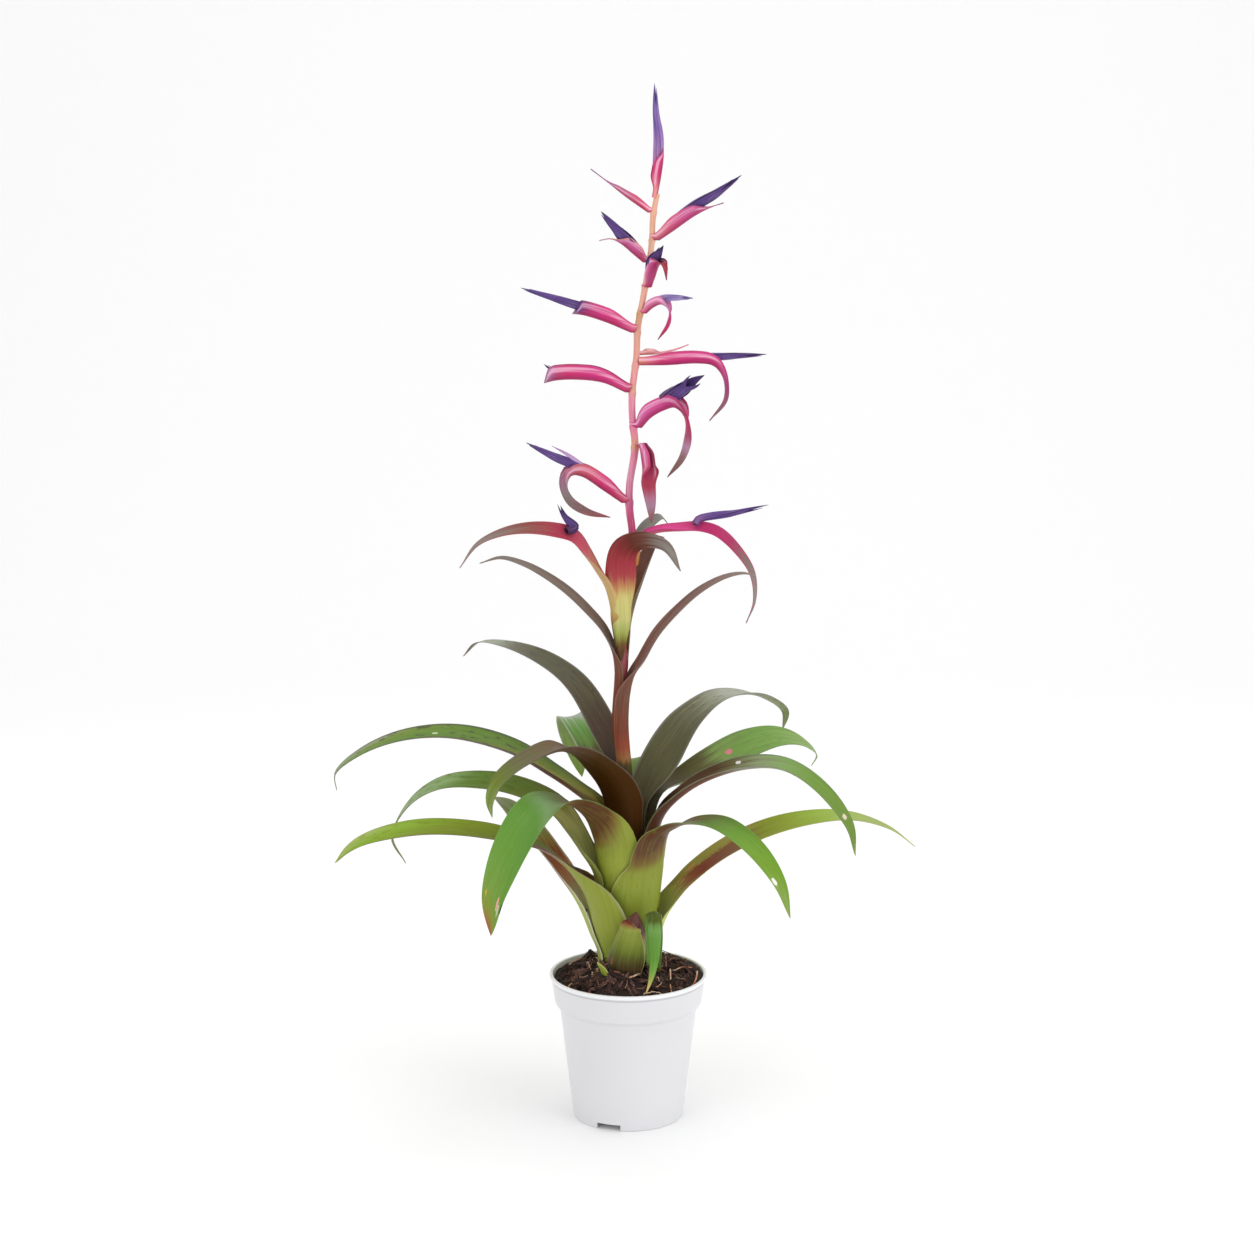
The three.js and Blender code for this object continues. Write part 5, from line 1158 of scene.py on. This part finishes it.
def freeStrip(leaf):
    spots, tangents, along, total = walk(leaf["path"], 0, leaf["rows"])
    normals, acrosses = carryNormals(tangents, leaf["faces"])
    share = along / total
    half = leaf["half"] * between(leaf["narrow"], 1, smooth(share, 0, 0.3)) * taper(share, leaf["fullness"])
    curl, thick = np.full(len(share), leaf["curl"]), np.full(len(share), 0.9)
    return Strip(spots, normals, acrosses, curl, np.maximum(half, grain["tipHalf"]), thick, share, along)


def makePup():
    replaceNode("pup_bud", budMesh(), plainMaterial("pup_bud", 0.42, budPaint), "pup")
    for node, leaf in pupPieces.items():
        if "azimuth" in leaf:  # the scale clasps the bud
            clear = 1 / math.cos(math.pi / 14)
            strip = sheathedStrip(leaf, lambda height: pupRadius(height) * clear + 1.2, pupAxis)
        else:
            strip = freeStrip(leaf)
        mesh = stripMesh(node, [strip], leaf["segments"])
        replaceNode(node, mesh, stripMaterial(node, leaf), "pup")


makePup()
print("pup made")


# Nursery pot

pot = {
    "height": 112, "rim": 60, "collar": 22, "collarFoot": 56.4, "wallTop": 52.2, "foot": 42, "wall": 1.4,
    "lip": 2.6, "footRing": 3, "underside": 5, "floor": 7, "segments": 160, "cornerSteps": 4,
    "notches": [-111, 69], "notchWide": 19, "notchHigh": 5, "drainRadius": 4, "drainRing": 24, "drains": 6,
    "cutDepth": 20,
}


def potProfile():
    p = pot
    shoulder, ring = p["height"] - p["collar"], p["foot"] - p["footRing"]
    corners = [  # radius, height, how far the corner is rounded
        (0, p["underside"], 0), (ring, p["underside"], 0.8), (ring, 0, 0.3), (p["foot"], 0, 0.9),
        (p["wallTop"], shoulder - 3, 1.2), (p["collarFoot"] - 0.6, shoulder - 0.4, 1.3),
        (p["rim"] - 1.5, p["height"] - 3.5, 1.0), (p["rim"], p["height"] - 2.6, 0.6),
        (p["rim"], p["height"], 0.9), (p["rim"] - p["lip"], p["height"], 0.7),
        (p["collarFoot"] - p["wall"], shoulder + 1, 1.5), (p["wallTop"] - p["wall"], shoulder - 3, 1.5),
        (p["foot"] - p["wall"] - 0.6, p["floor"], 1.5), (0, p["floor"], 0),
    ]
    line = []
    for i, (r, z, size) in enumerate(corners):
        here = np.array([r, z], float)
        if size == 0:
            line.append(here)
            continue
        before, after = (np.array(corners[k][:2], float) for k in (i - 1, i + 1))
        size = min(size, 0.45 * np.linalg.norm(before - here), 0.45 * np.linalg.norm(after - here))
        a, b = here + unit(before - here) * size, here + unit(after - here) * size
        for k in range(p["cornerSteps"] + 1):
            t = k / p["cornerSteps"]
            line.append(a * (1 - t) ** 2 + here * 2 * t * (1 - t) + b * t * t)
    return line


def lathed(name, line, segments):
    points, faces, rows = [], [], []
    turns = np.arange(segments) * math.tau / segments
    for r, z in line:
        onAxis = r < 1e-6
        rows.append([len(points)] * segments if onAxis else [len(points) + k for k in range(segments)])
        points += [(0, 0, z)] if onAxis else [(r * math.cos(t), r * math.sin(t), z) for t in turns]
    for low, high in zip(rows, rows[1:]):
        for k in range(segments):
            n = (k + 1) % segments
            quad = [low[k], low[n], high[n], high[k]]
            faces.append([q for i, q in enumerate(quad) if q not in quad[:i]])
    return newMesh(name, points, faces)


def potPaint(w, place, height):
    colour = w.ramp(w.noise(place, 9.0, 2.0), "30 dcdcdf, 70 e1e1e4")
    line = w.rise(height, 0.1066, 0.1076) * w.rise(height, 0.109, 0.1082)  # a painted shadow line below the lip
    colour = w.blend(line * 0.5, colour, "#a8a8ae")
    # painted highlight: the top of the lip is coloured whiter, as if lit from above
    colour = w.blend(w.rise(height, 0.1088, 0.1098), colour, "#f1f1f3")
    return colour, w.noise(place, 1800.0, 2.0), 0.12, 0.0001


def makePot():
    mesh = lathed("pot", potProfile(), pot["segments"])
    faceOutward(mesh)
    body = newObject("potBlank", mesh)
    cutters = []
    for azimuth in pot["notches"]:
        bpy.ops.mesh.primitive_cube_add(size=1)
        cutter = bpy.context.object
        cutter.scale = (pot["cutDepth"] * mm, pot["notchWide"] * mm, pot["notchHigh"] * 2 * mm)
        cutter.location = outward(azimuth) * pot["foot"] * mm
        cutter.rotation_euler = (0, 0, math.radians(azimuth))
        cutters.append(cutter)
    for k in range(pot["drains"]):
        radius, depth = pot["drainRadius"] * mm, pot["cutDepth"] * mm
        bpy.ops.mesh.primitive_cylinder_add(radius=radius, depth=depth, vertices=32)
        cutter = bpy.context.object
        x, y, z = outward(360 * k / pot["drains"]) * pot["drainRing"]
        cutter.location = [v * mm for v in (x, y, pot["floor"])]
        cutters.append(cutter)
    for cutter in cutters:
        cut = body.modifiers.new("cut", "BOOLEAN")
        cut.operation, cut.solver, cut.object = "DIFFERENCE", "EXACT", cutter
    mesh = settled("pot", body)
    for cutter in cutters:
        bpy.data.objects.remove(cutter)
    replaceNode("pot", mesh, plainMaterial("pot", 0.36, potPaint), "pot")


makePot()
print("pot made")


# Potting mix: the body, then bark, crumbs, fibres and loose roots over its top

mix = {
    "edge": 107.9, "gap": 0.4, "rings": 70, "spokes": 150,
    "mound": {"high": 14, "wide": 34}, "tilt": {"high": 1.6, "at": 44, "wide": 20},
    "heaps": [(9.5, -7, -37, 16, 12), (2.5, 34, 22, 18, 16)],  # height, centre, and spread along x and y
    "colours": "0 140c08, 20 2a1a12, 60 3c281c", "grain": 900, "relief": 0.0008,
}
piles = {  # pieces lie within reach of the middle; space, sink and relief are in metres
    "bark": {
        "density": 60000, "space": 0.0036, "seed": 4, "low": 0.55, "high": 1.5, "sink": 0.0, "tilt": 0.75,
        "shapes": 9, "reach": 48, "grain": 700, "relief": 0.0006, "fibrous": True,
        "colours": "0 130806, 30 24120e, 50 432a22, 70 6c4c40, 85 8a6858, 100 a88470",
    },
    "crumbs": {
        "density": 300000, "space": 0.0016, "seed": 9, "low": 0.5, "high": 1.5, "sink": 0.0, "tilt": 3.1,
        "shapes": 5, "reach": 54, "grain": 1200, "relief": 0.0004,
        "colours": "0 140a08, 45 2c1a14, 75 523428, 100 80583f",
    },
    "fibres": {
        "density": 45000, "space": 0.0034, "seed": 15, "low": 0.6, "high": 1.3, "sink": -0.0016, "tilt": 0.45,
        "shapes": 9, "reach": 47, "grain": 1500, "relief": 0.0002,
        "colours": "0 22120e, 35 432a22, 60 6c4a3c, 80 98684c, 100 dcae88",
    },
}
roots = {
    "count": 14, "steps": 24, "within": 53, "clear": 17, "thin": 0.2, "thick": 0.45, "lift": 1.0, "sides": 7,
    "reach": (24, 48), "bend": 0.2, "wander": 0.05, "length": (12, 34), "arch": (0.6, 3.2), "dip": 0.6,
    "rise": 1.6,
    "colours": "30 7a3f24, 40 b0683e, 50 d09870, 62 ecd0b4",
    "paths": [  # thickness, height of the arch, and the line over the mix
        (0.75, 2, [(22.5, -7), (26.7, -2.9), (30.8, -6.2), (31.9, -20.2), (31.7, -36.6), (32.9, -46.4)]),
        (0.4, 2, [(25.5, 17.7), (28.6, 10.5), (28.8, -0.5)]),
        (0.45, 1.5, [(20.5, -26), (22.5, -27), (23.5, -29.4)]),
        (0.4, 1.5, [(15.4, -38.3), (17.4, -38.8), (22.9, -35.1), (27, -25.2)]),
        (0.45, 0.8, [(10.5, -47.3), (19.3, -47.5), (28.8, -49.5)]),
        (0.8, 2, [(-1, -41.2), (6.5, -34), (12.7, -22.3)]),
        (0.4, 3, [(-28.5, 36.7), (-24, 11), (-19.6, -14.6)]),
        (0.45, 2, [(-31.7, 15.6), (-29.5, 0.5), (-26.8, -14.9)]),
        (1.0, 1.5, [(-16.7, -31), (-11, -36), (-5.4, -37)]),
        (0.4, 1.2, [(-15.3, -35.2), (-12, -39.5), (-8.4, -41.9)]),
        (0.35, 2, [(-28.5, -19.5), (-23.6, -17.3), (-18.8, -17.8)]),
        (0.5, 0.8, [(-45, -24.5), (-43.4, -22.8), (-42, -20.8)]),
        (0.6, 0.8, [(-29, -37.7), (-29, -40), (-28.2, -42.5)]),
        (0.8, 0.8, [(52.6, 6.3), (51.6, -13.7), (47.6, -26.8)]),
        (0.5, 1.2, [(32.2, -5.3), (42, 3.7), (49.9, 11.5)]),
        (0.35, 1.5, [(30.3, 7.8), (35, 15.5), (39.5, 21.1)]),
        (0.5, 1.5, [(-46.7, 22.8), (-39, 28.5), (-32.7, 33.6)]),
    ],
}


def mixRadius(height):  # the pot's inner wall, less a gap
    shoulder = pot["height"] - pot["collar"]
    heights = [pot["floor"], shoulder - 3, shoulder + 1, pot["height"] - 0.6]
    radii = [pot["foot"] - 0.6, pot["wallTop"], pot["collarFoot"], pot["rim"] - pot["lip"] + pot["wall"]]
    return np.interp(height, heights, radii) - pot["wall"] - mix["gap"]


def mixHeight(x, y):
    fromPlant = math.hypot(x - plant["x"], (y - plant["y"] + 14) * 0.9)
    mound = mix["mound"]["high"] * math.exp(-((fromPlant / mix["mound"]["wide"]) ** 2))
    slope = mix["tilt"]["high"] * (x + y) / pot["rim"]
    tilt = slope * math.exp(-(((fromPlant - mix["tilt"]["at"]) / mix["tilt"]["wide"]) ** 2))
    heaps = sum(high * math.exp(-(((x - atX) / wide) ** 2) - ((y - atY) / deep) ** 2)
                for high, atX, atY, wide, deep in mix["heaps"])
    lumps = 0.7 * math.sin(x * 0.31 + 1.2) * math.cos(y * 0.27) + 0.5 * math.sin(x * 0.13 - y * 0.22)
    small = 0.35 * math.sin(x * 0.9 + y * 0.5) * math.sin(y * 1.1 - x * 0.3)
    small += 0.2 * math.sin(x * 2.3 - y * 1.7)
    return mix["edge"] + mound + tilt + heaps + lumps + small


def mixTop(radius):
    points, faces = [(0, 0, mixHeight(0, 0))], []
    rings, spokes = mix["rings"], mix["spokes"]
    for k in range(1, rings + 1):
        for i in range(spokes):
            x, y, z = outward(360 * i / spokes) * radius * k / rings
            points.append((x, y, mixHeight(x, y)))
    for i in range(spokes):
        faces.append([0, 1 + i, 1 + (i + 1) % spokes])
    for k in range(rings - 1):
        for i in range(spokes):
            low, n = 1 + k * spokes, (i + 1) % spokes
            faces.append([low + i, low + spokes + i, low + spokes + n, low + n])
    return points, faces


def mixBody():
    shoulder, under = pot["height"] - pot["collar"], pot["floor"] + mix["gap"]
    points, faces = mixTop(mixRadius(mix["edge"] - 0.4))
    spokes = mix["spokes"]
    last = len(points) - spokes
    for height in (shoulder + 1, shoulder - 3, under):
        start = len(points)
        radius, up = mixRadius(height), np.array([0, 0, height])
        points += [outward(360 * i / spokes) * radius + up for i in range(spokes)]
        for i in range(spokes):
            n = (i + 1) % spokes
            faces.append([last + i, start + i, start + n, last + n])
        last = start
    points.append((0, 0, under))
    faces += [[last + i, len(points) - 1, last + (i + 1) % spokes] for i in range(spokes)]
    return newMesh("soil", points, faces)


random = np.random.default_rng(417)


def barkShape(k):
    length, width, thick = 12 * random.uniform(0.7, 1.25), random.uniform(2.2, 5), random.uniform(1.0, 2.2)
    bpy.ops.mesh.primitive_cube_add(size=1)
    chip = bpy.context.object
    shell = bmesh.new()
    shell.from_mesh(chip.data)
    bmesh.ops.subdivide_edges(shell, edges=shell.edges, cuts=3, use_grid_fill=True)
    bend, skew, phase = random.uniform(-0.25, 0.25), random.uniform(-0.5, 0.5), random.uniform(0, 6)
    for vertex in shell.verts:
        x, y, z = vertex.co
        ragged = 1 - 0.35 * abs(2 * x) ** 3 + 0.12 * math.sin(9 * x + phase)
        ripple = 0.35 * math.sin(14 * y + phase) * thick * 0.3
        vertex.co = (
            (x + skew * y * 0.3) * length + random.normal(0, 0.25),
            y * width * ragged + random.normal(0, 0.2),
            z * thick * ragged + bend * length * (x * x - 0.08) + random.normal(0, 0.14) + ripple,
        )
        vertex.co *= mm
    shell.to_mesh(chip.data)
    shell.free()
    store = chip.data.attributes.new("grain", "FLOAT_VECTOR", "POINT")
    store.data.foreach_set("vector", np.array([vertex.co / mm for vertex in chip.data.vertices]).ravel())
    chip.name = "bark" + str(k)
    return chip


def crumbShape(k):
    bpy.ops.mesh.primitive_ico_sphere_add(subdivisions=1, radius=1)
    crumb = bpy.context.object
    stretch = random.uniform(0.5, 1.4, 3)
    for vertex in crumb.data.vertices:
        vertex.co = [v * s * mm * 0.75 + random.normal(0, 0.12) * mm for v, s in zip(vertex.co, stretch)]
    crumb.name = "crumb" + str(k)
    return crumb


def fibreShape(k):
    length, steps, sides = random.uniform(9, 20), 16, 5
    heading, place = 0.0, np.zeros(3)
    bend = random.uniform(-0.09, 0.09)
    line = []
    for step in range(steps):
        line.append(place)
        heading += bend + random.normal(0, 0.1)
        place = place + np.array([math.cos(heading), math.sin(heading), 0]) * length / steps
    line = np.array(line) - np.mean(line, axis=0)
    line[:, 2] = 0.5 * np.sin(np.linspace(0, 3.1, steps)) + random.normal(0, 0.1)
    radii = random.uniform(0.16, 0.34) * (1 - 0.6 * np.linspace(0, 1, steps) ** 2)
    name = "fibre" + str(k)
    return newObject(name, tubeMesh(name, [(line, radii)], sides))


def scatterTree():  # instances of a collection over a surface, turned and scaled at random
    w, given = newGroup("scatterOnMix", "GeometryNodeTree", {
        "surface": "Geometry", "density": "Float", "space": "Float", "seed": "Int", "bag": "Collection",
        "low": "Float", "high": "Float", "sink": "Float", "tilt": "Float", "paint": "Material",
    }, {"made": "Geometry"})
    seed, tilt = given["seed"], given["tilt"]
    spread = w.node("GeometryNodeDistributePointsOnFaces", {
        "Mesh": given["surface"], "Distance Min": given["space"], "Density Max": given["density"], "Seed": seed,
    }, distribute_method="POISSON")
    shapes = w.node("GeometryNodeCollectionInfo", {
        "Collection": given["bag"], "Separate Children": True, "Reset Children": True})
    inputs = {2: given["low"], 3: given["high"], "Seed": seed + 1}
    size = w.node("FunctionNodeRandomValue", inputs, data_type="FLOAT")[1]
    placed = w.node("GeometryNodeInstanceOnPoints", {
        "Points": spread["Points"], "Instance": shapes[0], "Pick Instance": True,
        "Rotation": spread["Rotation"], "Scale": size})
    least = w.node("ShaderNodeCombineXYZ", {0: tilt * -1.0, 1: tilt * -1.0})[0]
    most = w.node("ShaderNodeCombineXYZ", {0: tilt, 1: tilt, 2: math.tau})[0]
    inputs = {0: least, 1: most, "Seed": seed + 2}
    turn = w.node("FunctionNodeRandomValue", inputs, data_type="FLOAT_VECTOR")[0]
    turned = w.node("GeometryNodeRotateInstances", {"Instances": placed[0], "Rotation": turn})
    down = w.node("ShaderNodeCombineXYZ", {2: given["sink"] * -1.0})[0]
    moved = w.node("GeometryNodeTranslateInstances", {
        "Instances": turned[0], "Translation": down, "Local Space": False})
    shade = w.node("FunctionNodeRandomValue", {"Seed": seed + 3}, data_type="FLOAT")[1]
    stored = w.node("GeometryNodeStoreNamedAttribute", {
        "Geometry": moved[0], "Name": "shade", "Value": shade}, data_type="FLOAT", domain="INSTANCE")
    real = w.node("GeometryNodeRealizeInstances", {0: stored[0]})
    painted = w.node("GeometryNodeSetMaterial", {"Geometry": real[0], "Material": given["paint"]})
    return w.handOut(made=painted[0])


def scattered(name, tree, pile, shapes, paint):
    holder = newObject(name, newMesh(name, *mixTop(pile["reach"])))
    bag = bpy.data.collections.new(name)
    for shape in shapes:
        for owner in list(shape.users_collection):
            owner.objects.unlink(shape)
        bag.objects.link(shape)
    values = {**pile, "bag": bag, "paint": paint}
    modifier = holder.modifiers.new("scatter", "NODES")
    modifier.node_group = tree
    for item in tree.interface.items_tree:
        if item.name in values:
            modifier[item.identifier] = values[item.name]
    made = settled(name, holder)
    for shape in shapes:
        bpy.data.objects.remove(shape)
    bpy.data.collections.remove(bag)
    print("  ", name, len(made.polygons), "faces")
    return made


def rootLines():  # loose roots that curl over the mix and dip into it at both ends
    lines = []
    for thick, arch, path in roots["paths"]:
        line = walk([(x, y, mixHeight(x, y) + roots["lift"]) for x, y in path], 0, roots["steps"], 1.0)[0]
        share = np.linspace(0, 1, len(line))
        bow = np.sin(math.pi * share)
        line[:, 2] = [mixHeight(x, y) for x, y, z in line]
        line[:, 2] += roots["lift"] * (2 * smooth(bow, 0, 0.3) - 1) + arch * bow ** 2
        lines.append((line, thick * between(1, 0.6, share) * (1 + 0.15 * np.sin(share * 21))))
    count = len(lines) + roots["count"]
    while len(lines) < count:
        azimuth, reach = random.uniform(-180, 180), random.uniform(*roots["reach"])
        x, y, z = outward(azimuth) * reach
        heading, bend, wander = random.uniform(0, 6.3), random.uniform(-roots["bend"], roots["bend"]), 0.0
        length, arch = random.uniform(*roots["length"]), random.uniform(*roots["arch"])
        line = []
        for step in range(roots["steps"]):
            bow = math.sin(math.pi * step / (roots["steps"] - 1))
            lift = roots["rise"] * smooth(bow, 0, 0.4) + arch * bow ** 2
            line.append((x, y, mixHeight(x, y) - roots["dip"] + lift))
            wander += random.normal(0, roots["wander"])
            heading += bend + wander
            x += math.cos(heading) * length / roots["steps"]
            y += math.sin(heading) * length / roots["steps"]
        line = np.array(line)
        fromPot = np.hypot(line[:, 0], line[:, 1])
        fromPup = np.hypot(line[:, 0] - pup["x"], line[:, 1] - pup["y"])
        if fromPot.max() < roots["within"] and min(fromPot.min(), fromPup.min()) > roots["clear"]:
            thick = between(roots["thin"], roots["thick"], random.random() ** 2)
            lines.append((line, thick * between(1, 0.5, np.linspace(0, 1, len(line)))))
    return lines


def rootPaint(w, place, height):
    fine = w.noise(place, 900.0, 2.0)
    return w.ramp(w.noise(place, 55.0, 2.0) * 0.8 + fine * 0.2, roots["colours"]), fine, 0.3, 0.0001


def mixMaterial(name, look):
    def build(w, place, height):
        shade, scale = w.stored("shade", "Fac"), look["grain"]
        grains = w.noise(place, (scale, scale * 0.6, scale), 4.0, 0.65)
        if look.get("fibrous"):  # the bark is streaked along each chip
            streaks = w.noise(w.stored("grain", "Vector"), (0.16, 1.7, 1.7), 3.0, 0.6)
            value = shade * 0.42 + w.rise(streaks, 0.36, 0.68) * 0.5 + (grains - 0.5) * 0.4
        else:
            value = shade * 0.75 + grains * 0.3
        return w.ramp(value, look["colours"]), grains, 0.7, look["relief"]
    return plainMaterial(name, 0.85, build)


def makeMix():
    replaceNode("soil", mixBody(), mixMaterial("soil", mix), "soil")
    tree = scatterTree()
    makers = {"bark": barkShape, "crumbs": crumbShape, "fibres": fibreShape}
    shapes = {key: [makers[key](k) for k in range(pile["shapes"])] for key, pile in piles.items()}
    for key, pile in piles.items():
        paint = mixMaterial(key, pile)
        mesh = scattered("soil_" + key, tree, pile, shapes[key], paint)
        mesh.materials.clear()
        finishPiece("soil_" + key, mesh, paint, "soil", "soil")
    mesh = tubeMesh("soil_roots", rootLines(), roots["sides"])
    finishPiece("soil_roots", mesh, plainMaterial("roots", 0.6, rootPaint), "soil", "soil")


makeMix()
print("potting mix made")
